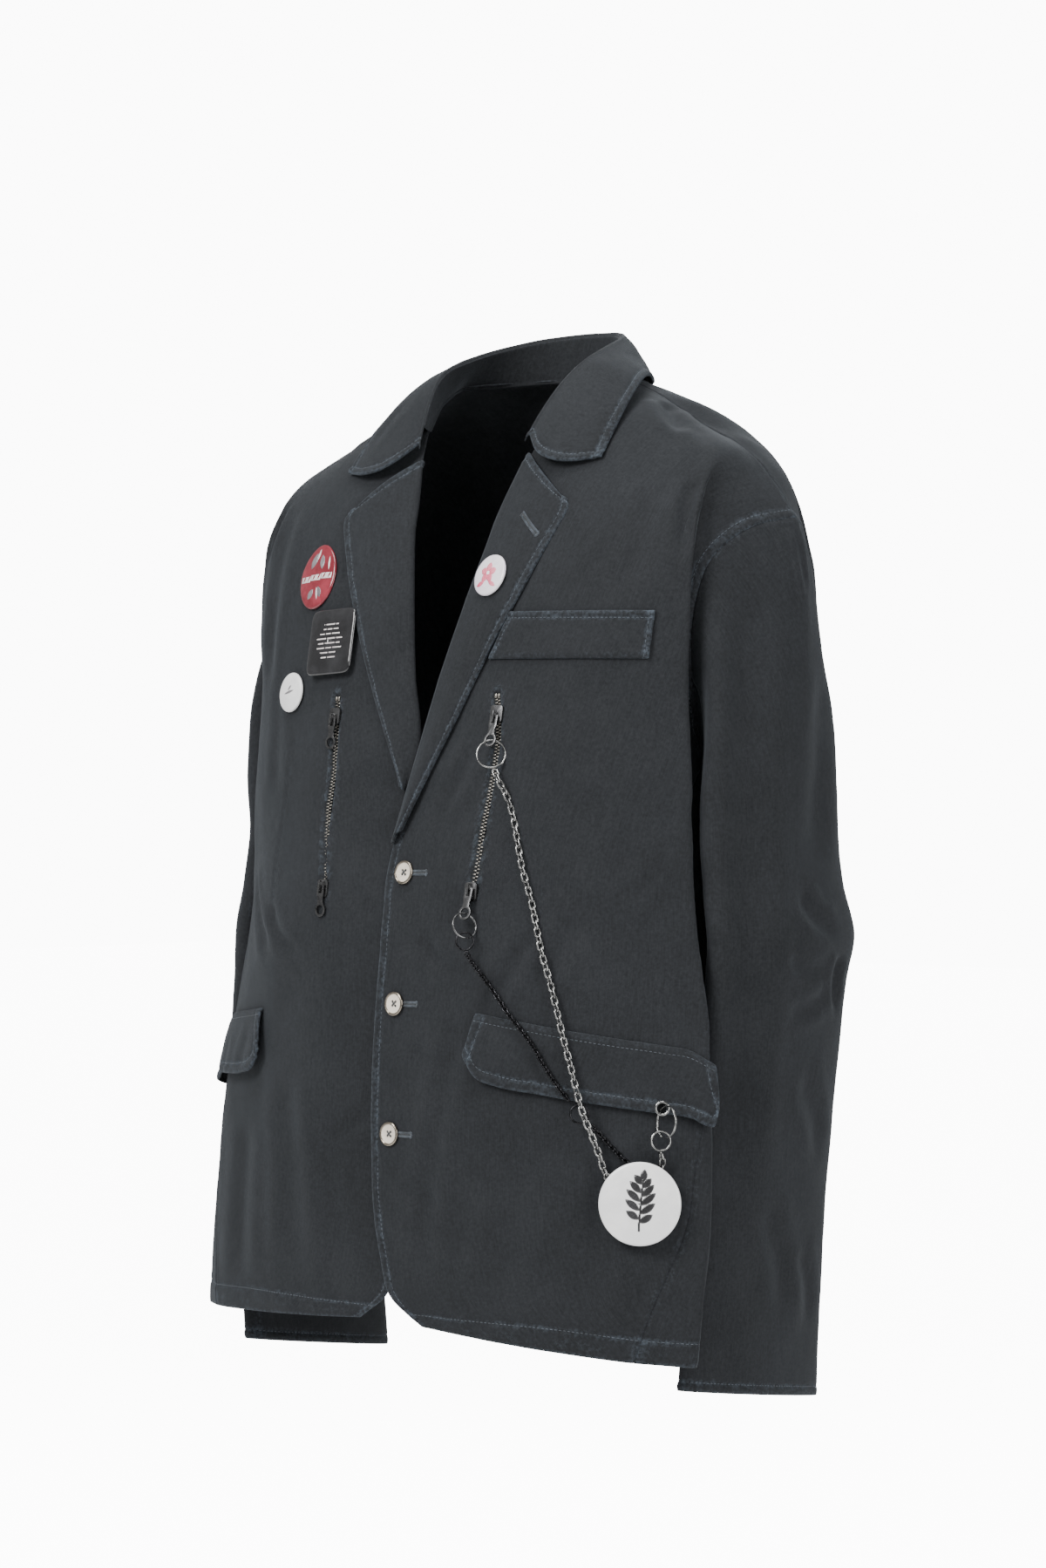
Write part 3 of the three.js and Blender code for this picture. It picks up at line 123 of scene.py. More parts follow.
cutawayEdge = (("z", "x"), [
    (-700, 60), (-654, 22), (-645, 10), (-630, 2), (-605, -7), (-570, -15), (-535, -18),
    (-340, -18)])
lapelRows = [(-14, -308, -6, -298), (-7, -278, 11, -266), (4, -234, 38, -217),
    (16, -186, 61, -170), (28, -136, 77, -138), (39, -90, 92, -106),
    (47, -50, 107, -67), (53, -27, 102, -63)]   # roll x and z, edge x and z
rightBreak = (9, -271, 13, -265)
collarColumns = ("along", "foldX", "foldY", "foldZ", "midX", "midY", "midZ", "edgeX", "edgeY",
    "edgeZ")
collarSections = (collarColumns, [
    (0, 0, 76, 76, 0, 87, 60, 0, 96, 34), (0.2, 36, 69, 74, 42, 79, 58, 47, 89, 34),
    (0.4, 60, 43, 66, 69, 50, 54, 78, 57, 36), (0.55, 68, 14, 56, 84, 19, 47, 98, 24, 35),
    (0.7, 69, -12, 44, 92, -12, 36, 114, -10, 20), (0.85, 62, -36, 20, 91, -41, 9, 120, -36, -4),
    (1, 54, -56, -12, 83, -69, -31, 122, -58, -31)])
zipPath = (("share", "leftX", "rightX", "z"), [
    (0, 67, 76, -343), (0.3, 72, 79, -298), (0.55, 75, 79, -264), (0.8, 76, 81, -230),
    (1, 71, 84, -203)])
cut = {
    "wall": 1.2, "doubleWall": 2.0, "seamGap": 0.3, "layHeight": 3.15,
    "chestLevel": -190, "underarmLevel": -248, "frontOverlap": 18,
    "hemCentre": -648, "hemDrop": 16, "hemTilt": 4, "hemHalf": 232, "hemSeamX": 200,
    "breastX": 75, "outerX": 150, "rearOuterX": 140, "lapShift": 1.3,
    "seamTrim": 0.2, "armholeTrim": 1.5, "shoulderTrim": 0.5,
    "cuffSlant": 0.13, "cuffSlantTop": -600, "sleeveSeamAngle": 108, "lapelRise": 3,
}


# small mathematics
def lerp(a, b, t):
    return a + (b - a) * t


def hermite(knots, values, i, at):
    def slope(k):
        left = (values[k] - values[k - 1]) / (knots[k] - knots[k - 1]) if k > 0 else None
        right = ((values[k + 1] - values[k]) / (knots[k + 1] - knots[k])
            if k < len(knots) - 1 else None)
        if left is None:
            return right
        if right is None:
            return left
        before = knots[k] - knots[k - 1]
        after = knots[k + 1] - knots[k]
        return (left * after + right * before) / (before + after)
    span = knots[i + 1] - knots[i]
    t = (at - knots[i]) / span
    t2 = t * t
    t3 = t2 * t
    return ((2 * t3 - 3 * t2 + 1) * values[i] + (t3 - 2 * t2 + t) * span * slope(i)
        + (-2 * t3 + 3 * t2) * values[i + 1] + (t3 - t2) * span * slope(i + 1))


def readTable(table, value):
    columns, rows = table
    ordered = sorted(rows)
    keys = [row[0] for row in ordered]
    at = min(max(value, keys[0]), keys[-1])
    i = 0
    while i < len(keys) - 2 and at > keys[i + 1]:
        i += 1
    return {name: hermite(keys, [row[k] for row in ordered], i, at)
        for k, name in enumerate(columns)}


def alongPoints(points, place):
    knots = [0.0]
    for a, b in zip(points, points[1:]):
        knots.append(knots[-1] + math.dist(a, b))
    i = min(max(math.floor(place), 0), len(points) - 2)
    at = lerp(knots[i], knots[i + 1], place - i)
    return [hermite(knots, [p[k] for p in points], i, at) for k in range(len(points[0]))]


def unit(a):
    a = np.asarray(a, float)
    return a / max(np.linalg.norm(a), 1e-9)


# the body's surface, the same as the frame's panels
def bodyPoint(place, z):
    s = readTable(bodySections, z)
    ring = [
        (-cut["breastX"], s["breastY"]), (0, s["frontY"]), (cut["breastX"], s["breastY"]),
        (cut["outerX"], s["outerY"]), (s["creaseX"] - 12, s["creaseY"] - 12),
        (s["creaseX"], s["creaseY"]), (s["creaseX"] - 16, s["creaseY"] + 5),
        (s["sideX"] + 5, s["creaseY"] + 20), (s["sideX"], s["sideY"]),
        (s["sideX"] + 3, s["rearCreaseY"] - 30), (s["rearCreaseX"] - 9, s["rearCreaseY"] - 13),
        (s["rearCreaseX"], s["rearCreaseY"]),
        (cut["rearOuterX"], lerp(s["rearCreaseY"], s["bladeY"], 0.6)),
        (cut["breastX"], s["bladeY"]), (0, s["rearY"]), (-cut["breastX"], s["bladeY"])]
    x, y = alongPoints(ring, place + 1)
    return [x, y, z]


def placeAtX(x, z):
    low, high = -1.0, 4.0
    for _ in range(24):
        middle = (low + high) / 2
        if bodyPoint(middle, z)[0] < x:
            low = middle
        else:
            high = middle
    return (low + high) / 2


levelRows = [-630, -605, -570, -535, -500, -465, -430, -395, -360, -330, -300, -272, -248, -222]
risingRows = [0, 15, 30, 44, 57, 70, 80, 90]


def risingPoint(low, top, angle, square):
    turn = math.radians(angle)
    over = (1 - math.cos(turn)) ** square
    return [lerp(low[0], top[0], over), lerp(low[1], top[1], over),
        lerp(low[2], top[2], math.sin(turn))]


def hemHeight(x):
    return cut["hemCentre"] - (cut["hemDrop"] * abs(x) + cut["hemTilt"] * x) / cut["hemHalf"]


def hemPoint(place, side):
    point = bodyPoint(place, cut["hemCentre"])
    for _ in range(3):
        point = bodyPoint(place, hemHeight(point[0] * side))
    return point


def frontEdgeX(z):
    return readTable(neckEdge if z > -340 else cutawayEdge, z)["x"]


def shifted(row, target, weights):
    miss = np.array(target) - row[-1 if weights[-1] > weights[0] else 0]
    return [np.array(p) + miss * w for p, w in zip(row, weights)]


def frontGrid(side):
    shares = [0, 0.09, 0.19, 0.3, 0.42, 0.54, 0.65, 0.75, 0.83, 0.91, 1]
    grid = []
    for level in [None] + levelRows + [cut["chestLevel"]]:
        z = hemHeight(cut["hemSeamX"] * side) if level is None else level
        first = placeAtX(frontEdgeX(z), z)
        last = readTable(frontSeam, z)["place"]
        row = []
        for j, share in enumerate(shares):
            place = -first if j == 1 and first < -0.05 else lerp(first, last, share)
            row.append(hemPoint(place, side) if level is None else bodyPoint(place, z))
        if z >= cut["underarmLevel"]:
            edge = readTable(armholeFront, z)
            row = shifted(row, [edge["x"], edge["y"], z], [s ** 8 for s in shares])
        grid.append(row)
    chestRow = grid[-1]
    for angle in risingRows[1:]:
        row = []
        for j, share in enumerate(shares):
            seam = readTable(shoulderSeam, share)
            row.append(risingPoint(chestRow[j], [seam["x"], seam["y"], seam["z"]], angle,
                0.8 + 1.8 * share * share))
        inner = readTable(neckEdge, row[0][2])
        outer = readTable(armholeFront, row[-1][2])
        innerMiss = np.array([inner["x"], inner["y"], row[0][2]]) - row[0]
        outerMiss = np.array([outer["x"], outer["y"], row[-1][2]]) - row[-1]
        grid.append([np.array(p) + innerMiss * (1 - s) ** 2 + outerMiss * s ** 4
            for p, s in zip(row, shares)])
    grid = np.array(grid, float)
    fade = np.clip((60 - grid[..., 0]) / 38, 0, 1)
    grid[..., 1] -= side * cut["lapShift"] * fade
    return grid


def sideGrid(side):
    shares = [0, 0.17, 0.34, 0.5, 0.67, 0.84, 1]
    grid = []
    for level in [None] + [z for z in levelRows if z <= cut["underarmLevel"]]:
        z = hemHeight(cut["hemSeamX"] * side) if level is None else level
        first = readTable(frontSeam, z)["place"]
        last = readTable(rearSeam, z)["place"]
        places = [lerp(first, last, s) for s in shares]
        row = [hemPoint(p, side) if level is None else bodyPoint(p, z) for p in places]
        if z >= cut["underarmLevel"]:
            front = readTable(armholeFront, z)
            rear = readTable(armholeRear, z)
            frontMiss = np.array([front["x"], front["y"], z]) - row[0]
            rearMiss = np.array([rear["x"], rear["y"], z]) - row[-1]
            row = [np.array(p) + frontMiss * (1 - s) ** 2 + rearMiss * s ** 2
                for p, s in zip(row, shares)]
        grid.append(row)
    return np.array(grid, float)


def rearGrid(side):
    shares = [0, 0.13, 0.26, 0.38, 0.5, 0.6, 0.7, 0.8, 0.9, 1]
    neckShare = 0.3
    grid = []
    for level in [None] + levelRows + [cut["chestLevel"]]:
        z = hemHeight(cut["hemSeamX"] * side) if level is None else level
        first = readTable(rearSeam, z)["place"]
        places = [lerp(first, 13, s) for s in shares]
        row = [hemPoint(p, side) if level is None else bodyPoint(p, z) for p in places]
        if z >= cut["underarmLevel"]:
            edge = readTable(armholeRear, z)
            row = shifted(row, [edge["x"], edge["y"], z], [(1 - s) ** 6 for s in shares])
        grid.append(row)
    chestRow = grid[-1]
    for angle in risingRows[1:]:
        row = []
        for j, share in enumerate(shares):
            out = 1 - share
            top = (readTable(shoulderSeam, (out - neckShare) / (1 - neckShare))
                if out > neckShare else readTable(backNeck, out / neckShare))
            row.append(risingPoint(chestRow[j], [top["x"], top["y"], top["z"]], angle,
                1 + 1.2 * out * out))
        outer = readTable(armholeRear, row[0][2])
        row = shifted(row, [outer["x"], outer["y"], row[0][2]], [(1 - s) ** 4 for s in shares])
        grid.append(row)
    return np.array(grid, float)


# sleeves
sleeveRows = [-699, -660, -600, -540, -485, -440, -405, -375, -340, -300]
capShares = [0.84, 0.66, 0.48, 0.32, 0.18, 0.07, 0]


def sleevePoint(side, z, angle):
    s = readTable(sleeveSections, z)
    turn = math.radians(angle)
    y = s["halfY"] * math.sin(turn)
    slant = max(0, (cut["cuffSlantTop"] - z) / (cut["cuffSlantTop"] - sleeveRows[0]))
    return np.array([(s["leftX"] if side > 0 else s["rightX"]) + s["halfX"] * math.cos(turn),
        (s["leftY"] if side > 0 else s["rightY"]) + y,
        z - cut["cuffSlant"] * slant * y])


def sleevePiece(side, ring, angles):
    grid = [[sleevePoint(side, z, angle) for angle in angles] for z in sleeveRows]
    for t in capShares:
        row = []
        for edge, angle in zip(ring, angles):
            low = sleevePoint(side, sleeveRows[-1], angle)
            reach = np.linalg.norm(low - edge)
            outward = max(0, math.cos(math.radians(angle)))
            leave = unit([0.28 + 0.6 * (1 - outward) ** 2, 0, -1])
            start = edge + leave * cut["armholeTrim"]
            t2, t3 = t * t, t * t * t
            row.append((2 * t3 - 3 * t2 + 1) * start + (t3 - 2 * t2 + t) * leave * reach * 0.9
                + (-2 * t3 + 3 * t2) * low + (t3 - t2) * np.array([0, 0, -reach]))
        grid.append(row)
    return np.array(grid, float)


def sleeveGrids(side, front, middle, rear):
    start = 1 + levelRows.index(cut["underarmLevel"])
    up = list(front[start:, -1])
    down = list(rear[start:, 0])[::-1][1:]
    under = list(middle[-1][1:-1])[::-1]
    frontStart, rearEnd = 2, len(down) - 3
    top = up[frontStart:] + down[:rearEnd + 1]
    below = down[rearEnd:] + under + up[:frontStart + 1]
    seam = cut["sleeveSeamAngle"]
    peak = len(up) - 1 - frontStart
    topAngles = [lerp(-seam, 0, k / peak) if k < peak
        else lerp(0, seam, (k - peak) / (len(top) - 1 - peak)) for k in range(len(top))]
    belowAngles = [lerp(seam, 360 - seam, k / (len(below) - 1)) for k in range(len(below))]
    return sleevePiece(side, top, topAngles), sleevePiece(side, below, belowAngles)


# fine surfaces
def splineAlong(points, knots, stops):
    # smooth curve through points[k] at knots[k], read at every stop
    knots = np.asarray(knots, float)
    span = np.diff(knots)
    chord = np.diff(points, axis=0) / span[:, None, None]
    slope = np.empty_like(points)
    slope[0], slope[-1] = chord[0], chord[-1]
    before, after = span[:-1, None, None], span[1:, None, None]
    slope[1:-1] = (chord[:-1] * after + chord[1:] * before) / (before + after)
    i = np.clip(np.searchsorted(knots, stops, side="right") - 1, 0, len(knots) - 2)
    t = ((stops - knots[i]) / span[i])[:, None, None]
    h = span[i][:, None, None]
    t2, t3 = t * t, t * t * t
    return ((2 * t3 - 3 * t2 + 1) * points[i] + (t3 - 2 * t2 + t) * h * slope[i]
        + (-2 * t3 + 3 * t2) * points[i + 1] + (t3 - t2) * h * slope[i + 1])


def meanKnots(grid):
    return np.concatenate([[0], np.cumsum(np.linalg.norm(np.diff(grid, axis=0), axis=2).mean(1))])


def stopsFor(length, step, lowEdge=0, highEdge=0, fine=1.1, zones=()):
    # distances from 0 to length: dense within an edge's width and inside the zones
    stops = [0.0]
    while stops[-1] < length - 0.4:
        at = stops[-1]
        near = at < lowEdge or at > length - highEdge - step
        near = near or any(a <= at <= b for a, b in zones)
        stops.append(at + (fine if near else step))
    stops[-1] = length
    return np.array(stops)


def refined(grid, step=3.0, first=0, last=0, bottom=0, top=0, zones=(), fine=1.1):
    rowKnots = meanKnots(grid)
    columnKnots = meanKnots(grid.transpose(1, 0, 2))
    tall = splineAlong(grid, rowKnots, stopsFor(rowKnots[-1], step, bottom, top, fine))
    across = stopsFor(columnKnots[-1], step, first, last, fine, zones)
    return splineAlong(tall.transpose(1, 0, 2), columnKnots, across).transpose(1, 0, 2)


def trimmed(grid, first=0, last=0, bottom=0, top=0):
    g = grid.copy()

    def toward(a, b, distance):
        gap = b - a
        size = np.maximum(np.linalg.norm(gap, axis=-1, keepdims=True), 1e-9)
        return a + gap / size * distance
    g[:, 0] = toward(g[:, 0], g[:, 1], first)
    g[:, -1] = toward(g[:, -1], g[:, -2], last)
    g[0] = toward(g[0], g[1], bottom)
    g[-1] = toward(g[-1], g[-2], top)
    return g


def gridNormals(grid):
    up = np.gradient(grid, axis=0)
    across = np.gradient(grid, axis=1)
    n = np.cross(across, up)
    return n / np.maximum(np.linalg.norm(n, axis=2, keepdims=True), 1e-9)


def edgeDistances(grid):
    # distance of every point from the four borders, measured along the cloth
    across = np.linalg.norm(np.diff(grid, axis=1), axis=2)
    tall = np.linalg.norm(np.diff(grid, axis=0), axis=2)
    u = np.concatenate([np.zeros((grid.shape[0], 1)), np.cumsum(across, axis=1)], axis=1)
    v = np.concatenate([np.zeros((1, grid.shape[1])), np.cumsum(tall, axis=0)], axis=0)
    return {"u": u, "v": v, "first": u, "last": u[:, -1:] - u, "bottom": v, "top": v[-1:] - v}


# soft noise, the same on every piece because it is read in space
noiseTable = np.random.default_rng(5).random((32, 32, 32)) * 2 - 1


def softNoise(points, size, offset=0.0):
    p = np.asarray(points) / size + offset
    cell = np.floor(p).astype(int)
    f = p - cell
    f = f * f * (3 - 2 * f)
    total = 0
    for dx in (0, 1):
        for dy in (0, 1):
            for dz in (0, 1):
                weight = (np.abs(1 - dx - f[..., 0]) * np.abs(1 - dy - f[..., 1])
                    * np.abs(1 - dz - f[..., 2]))
                total = total + weight * noiseTable[(cell[..., 0] + dx) % 32,
                    (cell[..., 1] + dy) % 32,
                    (cell[..., 2] + dz) % 32]
    return total


def bell(distance, width):
    return np.exp(-(distance / width) ** 2)


# creases, placed in millimetres on the left side; the right has its own lists
# each is (points, half width, depth); a negative depth is a ridge
bodyCreases = {
    1: [([(124, 15, 14), (144, -3, 0), (166, -18, -15)], 7, 2.6),
      ([(150, 8, -6), (172, -8, -22), (188, -24, -42)], 6, 1.6),
      ([(198, -42, -49), (197, -52, -62), (199, -60, -85), (200, -62, -120)], 5, 2.4),
      ([(120, -60, -20), (128, -82, -60), (126, -97, -108)], 11, 1.5),
      ([(174, -50, -48), (170, -70, -90), (166, -84, -140)], 8, 1.7),
      ([(120, -130, -366), (97, -138, -406), (80, -146, -432)], 6, 1.9),
      ([(150, -118, -352), (138, -126, -385), (118, -134, -412)], 7, 1.4),
      ([(66, -140, -430), (55, -143, -472), (42, -146, -530), (30, -150, -640)], 9, 1.6),
      ([(20, -136, -372), (44, -139, -392), (70, -141, -404)], 6, 1.5),
      ([(14, -142, -452), (40, -144, -462), (62, -146, -468)], 5, 1.1),
      ([(10, -146, -548), (34, -147, -560), (58, -148, -566)], 6, 1.0),
      ([(120, -146, -520), (112, -147, -570), (96, -149, -640)], 12, 1.6),
      ([(170, -122, -522), (172, -126, -580), (164, -130, -650)], 12, 1.5),
      ([(196, -104, -230), (186, -104, -290), (172, -108, -345)], 9, 1.6),
      ([(60, -118, -236), (44, -120, -262), (26, -124, -300)], 6, 1.2),
      ([(148, -106, -196), (150, -110, -236), (146, -114, -262)], 8, 1.0),
      ([(206, -80, -300), (196, -92, -330), (176, -106, -352)], 6, 1.5)],
    -1: [([(118, 12, 14), (140, -2, 2), (160, -14, -14)], 7, 2.4),
      ([(150, 6, -6), (170, -10, -24), (186, -28, -46)], 6, 1.5),
      ([(199, -44, -52), (198, -54, -70), (199, -61, -104)], 5, 2.2),
      ([(176, -50, -52), (174, -68, -96), (176, -82, -150), (182, -86, -200)], 8, 2.0),
      ([(90, -80, -50), (96, -92, -92), (84, -104, -130)], 10, 1.2),
      ([(160, -104, -170), (158, -108, -230), (152, -114, -280)], 9, 1.4),
      ([(150, -120, -352), (126, -128, -378), (92, -136, -392)], 6, 1.6),
      ([(196, -86, -330), (170, -106, -366), (140, -126, -392)], 7, 1.8),
      ([(60, -128, -330), (40, -132, -350), (22, -134, -366)], 6, 1.2),
      ([(112, -142, -470), (104, -146, -540), (92, -149, -640)], 12, 1.6),
      ([(166, -122, -510), (170, -126, -580), (162, -130, -650)], 12, 1.5),
      ([(60, -144, -480), (54, -146, -560), (48, -150, -650)], 10, 1.3),
      ([(24, -144, -500), (44, -146, -516), (66, -147, -524)], 6, 1.0)]}
rearCreases = {
    1: [([(190, 74, -90), (176, 96, -140), (168, 112, -200)], 9, 2.0),
      ([(150, 60, -12), (140, 84, -58), (142, 104, -110)], 11, 1.6),
      ([(60, 88, 0), (64, 108, -60), (70, 124, -140)], 14, 1.2),
      ([(186, 102, -300), (140, 120, -330), (92, 127, -346)], 7, 1.8),
      ([(176, 110, -352), (130, 124, -372), (80, 125, -384)], 6, 1.5),
      ([(60, 122, -350), (34, 121, -366), (10, 119, -372)], 6, 1.0),
      ([(150, 118, -450), (142, 122, -540), (132, 126, -650)], 13, 1.9),
      ([(84, 125, -440), (78, 128, -540), (70, 131, -650)], 14, 1.6),
      ([(34, 120, -480), (30, 126, -570), (28, 133, -655)], 10, 1.2)],
    -1: [([(190, 74, -96), (178, 94, -146), (164, 114, -214)], 9, 1.9),
      ([(146, 62, -16), (134, 88, -66), (138, 106, -118)], 11, 1.5),
      ([(48, 88, -4), (52, 108, -66), (56, 124, -150)], 14, 1.1),
      ([(184, 104, -318), (134, 122, -342), (84, 127, -352)], 7, 1.7),
      ([(172, 112, -368), (126, 124, -388), (70, 124, -396)], 6, 1.4),
      ([(158, 116, -444), (148, 121, -540), (140, 125, -650)], 13, 1.8),
      ([(96, 125, -452), (88, 128, -550), (82, 131, -650)], 13, 1.5)]}
sideCreases = {
    1: [([(186, -30, -330), (184, 14, -352), (188, 60, -366)], 7, 1.6),
      ([(184, -10, -470), (184, 10, -560), (184, 14, -650)], 10, 1.4)],
    -1: [([(186, -26, -340), (184, 18, -360), (188, 62, -372)], 7, 1.5),
      ([(184, 0, -480), (184, 14, -560), (184, 20, -650)], 10, 1.3)]}
sleeveCreases = {
    1: [([(240, -4, -78), (242, -8, -96), (243, -10, -118)], 3.6, 1.3),
      ([(242, 5, -80), (247, 4, -115), (249, 5, -152)], 3.4, 1.5),
      ([(243, 14, -80), (247, 14, -104), (250, 20, -134)], 3.4, 1.5),
      ([(240, 27, -84), (246, 33, -112), (248, 40, -140)], 3.6, 1.2),
      ([(232, 40, -92), (238, 50, -120), (240, 58, -150)], 4, 1.2),
      ([(227, -26, -111), (232, -32, -161), (236, -36, -250), (238, -38, -351),
      (235, -39, -438), (229, -43, -525), (222, -49, -611)], 15, 3.4),
      ([(240, 46, -176), (243, 40, -260), (244, 34, -330)], 14, 2.0),
      ([(243, 65, -386), (241, 60, -404), (238, 69, -434)], 6, 2.4),
      ([(246, 8, -340), (246, 30, -362), (242, 60, -372)], 7, 2.4),
      ([(244, -4, -386), (243, 18, -396), (240, 44, -398)], 6, 2.0),
      ([(242, 0, -428), (241, 24, -424), (238, 50, -414)], 6, 1.6),
      ([(238, 20, -470), (237, 44, -500), (232, 58, -540)], 9, 1.8),
      ([(228, -12, -560), (228, 10, -600), (224, 20, -650)], 10, 1.6),
      ([(226, 34, -596), (226, 50, -626), (224, 56, -660)], 8, 1.4),
      ([(228, -64, -180), (230, -68, -240), (228, -70, -300)], 8, 1.6)],
    -1: [([(240, -4, -80), (243, -6, -104), (244, -4, -124)], 3.6, 1.3),
      ([(243, 10, -80), (247, 10, -106), (249, 12, -140)], 3.4, 1.4),
      ([(241, 24, -84), (246, 30, -114), (248, 36, -144)], 3.6, 1.2),
      ([(232, 42, -94), (238, 52, -124), (240, 58, -150)], 4, 1.1),
      ([(193, -72, -124), (223, -53, -208), (222, -58, -315)], 10, -2.2),
      ([(228, -30, -120), (234, -30, -190), (240, -34, -280), (250, -36, -380)], 14, 3.0),
      ([(253, 2, -352), (256, 26, -372), (252, 58, -382)], 7, 2.4),
      ([(256, -10, -398), (259, 14, -408), (256, 46, -408)], 6, 2.1),
      ([(258, -6, -440), (260, 18, -436), (256, 48, -424)], 6, 1.7),
      ([(230, -74, -384), (228, -76, -420), (224, -74, -450)], 8, 1.8),
      ([(258, 14, -490), (254, 40, -520), (246, 56, -560)], 9, 1.7),
      ([(250, -20, -520), (244, -26, -590), (236, -30, -650)], 12, 2.2),
      ([(240, 30, -600), (236, 44, -632), (230, 52, -664)], 8, 1.4)]}
underCreases = {
    1: [([(196, 10, -290), (194, 24, -330), (194, 40, -350)], 8, 1.8),
      ([(196, -20, -380), (195, 10, -400), (196, 44, -396)], 7, 1.8),
      ([(194, 0, -480), (192, 14, -560), (192, 18, -640)], 10, 1.6)],
    -1: [([(196, 8, -290), (198, 22, -332), (202, 40, -352)], 8, 1.8),
      ([(206, -24, -386), (208, 8, -404), (210, 42, -398)], 7, 1.8),
      ([(212, -6, -480), (208, 8, -560), (196, 14, -640)], 10, 1.6)]}
seamLines = {
    1: [([(137.8, -118, -262), (130, -124, -306), (122, -128, -350), (108.9, -137, -412)], 1.6,
      1.1)],
    -1: [([(130, -108, -220), (133, -116, -272), (141, -119, -334), (138, -128, -396)], 1.6, 1.1)]}


def toCurve(points, curve):
    # distance of each point from each step of a curve, and how far along the step it is nearest
    a, ab = curve[:-1], np.diff(curve, axis=0)
    t = np.clip(np.einsum("pkc,kc->pk", points[:, None] - a[None], ab)
        / np.einsum("kc,kc->k", ab, ab), 0, 1)
    return np.linalg.norm(points[:, None] - (a[None] + t[..., None] * ab[None]), axis=2), t


def creaseDepth(points, creases):
    # how far the cloth is moved along its outward normal by a list of creases
    flat = points.reshape(-1, 3)
    total = np.zeros(len(flat))
    for route, width, depth in creases:
        stops = np.linspace(0, len(route) - 1, 7 * (len(route) - 1) + 1)
        curve = np.array([alongPoints([tuple(map(float, p)) for p in route], s) for s in stops])
        reach = width * 4 + 6
        near = np.all((flat > curve.min(0) - reach) & (flat < curve.max(0) + reach), axis=1)
        if not near.any():
            continue
        p = flat[near]
        gap, t = toCurve(p, curve)
        rank, which = np.arange(len(p)), gap.argmin(axis=1)
        distance = gap[rank, which]
        share = (which + t[rank, which]) / (len(curve) - 1)
        fade = np.clip(share / 0.22, 0, 1) * np.clip((1 - share) / 0.3, 0, 1)
        fade = fade * fade * (3 - 2 * fade)
        wander = 1 + 0.25 * softNoise(p, 22, 3.3)
        profile = -bell(distance, width * wander) + 0.45 * bell(distance - 1.9 * width, 0.9 * width)
        total[near] += depth * profile * fade
    return total.reshape(points.shape[:-1])


# cloth walls: both faces follow the shaped surface, and a rounded rim joins them
pieces = {}


def makeMesh(name, vertices, faces, uv=None, fade=None):
    mesh = bpy.data.meshes.new(name)
    faces = np.asarray(faces, dtype=np.int32)
    mesh.vertices.add(len(vertices))
    mesh.vertices.foreach_set("co", (np.asarray(vertices) * mm).astype(np.float32).ravel())
    mesh.loops.add(faces.size)
    mesh.loops.foreach_set("vertex_index", faces.ravel())
    mesh.polygons.add(len(faces))
    starts = np.arange(0, faces.size, faces.shape[1], dtype=np.int32)
    mesh.polygons.foreach_set("loop_start", starts)
    mesh.update(calc_edges=True)
    mesh.polygons.foreach_set("use_smooth", np.ones(len(faces), dtype=bool))
    if uv is not None:
        layer = mesh.uv_layers.new(name="cloth")
        layer.data.foreach_set("uv", uv[faces.ravel()].astype(np.float32).ravel())
    if fade is not None:
        attribute = mesh.attributes.new("fade", "FLOAT", "POINT")
        attribute.data.foreach_set("value", np.clip(fade, 0, 1).astype(np.float32))
    mesh.validate()
    return shown(name, mesh)


def wallMesh(name, outer, inner, uvGrid, fadeGrid, rim=0.22, flip=False, hole=None):
    rows, columns = outer.shape[:2]
    count = rows * columns
    index = np.arange(count).reshape(rows, columns)
    quads = np.stack([index[:-1, :-1], index[:-1, 1:], index[1:, 1:], index[1:, :-1]], -1)
    quads = quads.reshape(-1, 4)
    border = np.concatenate([index[0, :-1], index[:-1, -1], index[-1, :0:-1], index[:0:-1, 0]])
    inward = np.concatenate([index[1, :-1], index[:-1, -2], index[-2, :0:-1], index[:0:-1, 1]])
    o, i = outer.reshape(-1, 3), inner.reshape(-1, 3)
    middle = (o[border] + i[border]) / 2
    away = o[border] - o[inward]
    away /= np.maximum(np.linalg.norm(away, axis=1, keepdims=True), 1e-9)
    thick = np.linalg.norm(o[border] - i[border], axis=1, keepdims=True)
    middle = middle + away * rim * thick
    ring = np.arange(len(border)) + 2 * count
    nextRing = np.roll(ring, -1)
    nextBorder = np.roll(border, -1)
    sideOne = np.stack([border, ring, nextRing, nextBorder], -1)
    sideTwo = np.stack([ring, border + count, nextBorder + count, nextRing], -1)
    faces = np.concatenate([quads, quads[:, ::-1] + count, sideOne, sideTwo])
    vertices = np.concatenate([o, i, middle])
    uv = np.concatenate([uvGrid.reshape(-1, 2)] * 2 + [uvGrid.reshape(-1, 2)[border]])
    worn = fadeGrid.ravel()
    fade = np.concatenate([worn, worn * 0.4, worn[border] + 0.2])
    if hole:
        # the cloth is punched for an eyelet
        centre, radius = hole
        middles = vertices[faces].mean(axis=1)
        faces = faces[np.linalg.norm(middles - np.array(centre), axis=1) > radius]
    if flip:
        vertices = vertices * [-1, 1, 1]
        faces = faces[:, ::-1]
    return makeMesh(name, vertices, faces, uv, fade)


edgeLook = {"rope": 0.55, "trough": 0.45, "pucker": 0.5, "puckerSize": 8.5, "ripple": 0.42,
    "rippleSize": 26, "drape": 1.0, "drapeSize": 85, "crease": 1.4}


def between(grid, levels):
    # zero between two heights, and out of reach outside them
    if not levels:
        return 0
    low, high = levels
    z = grid[..., 2]
    return 400 * np.clip(np.maximum(low - z, z - high) / 6, 0, 1)


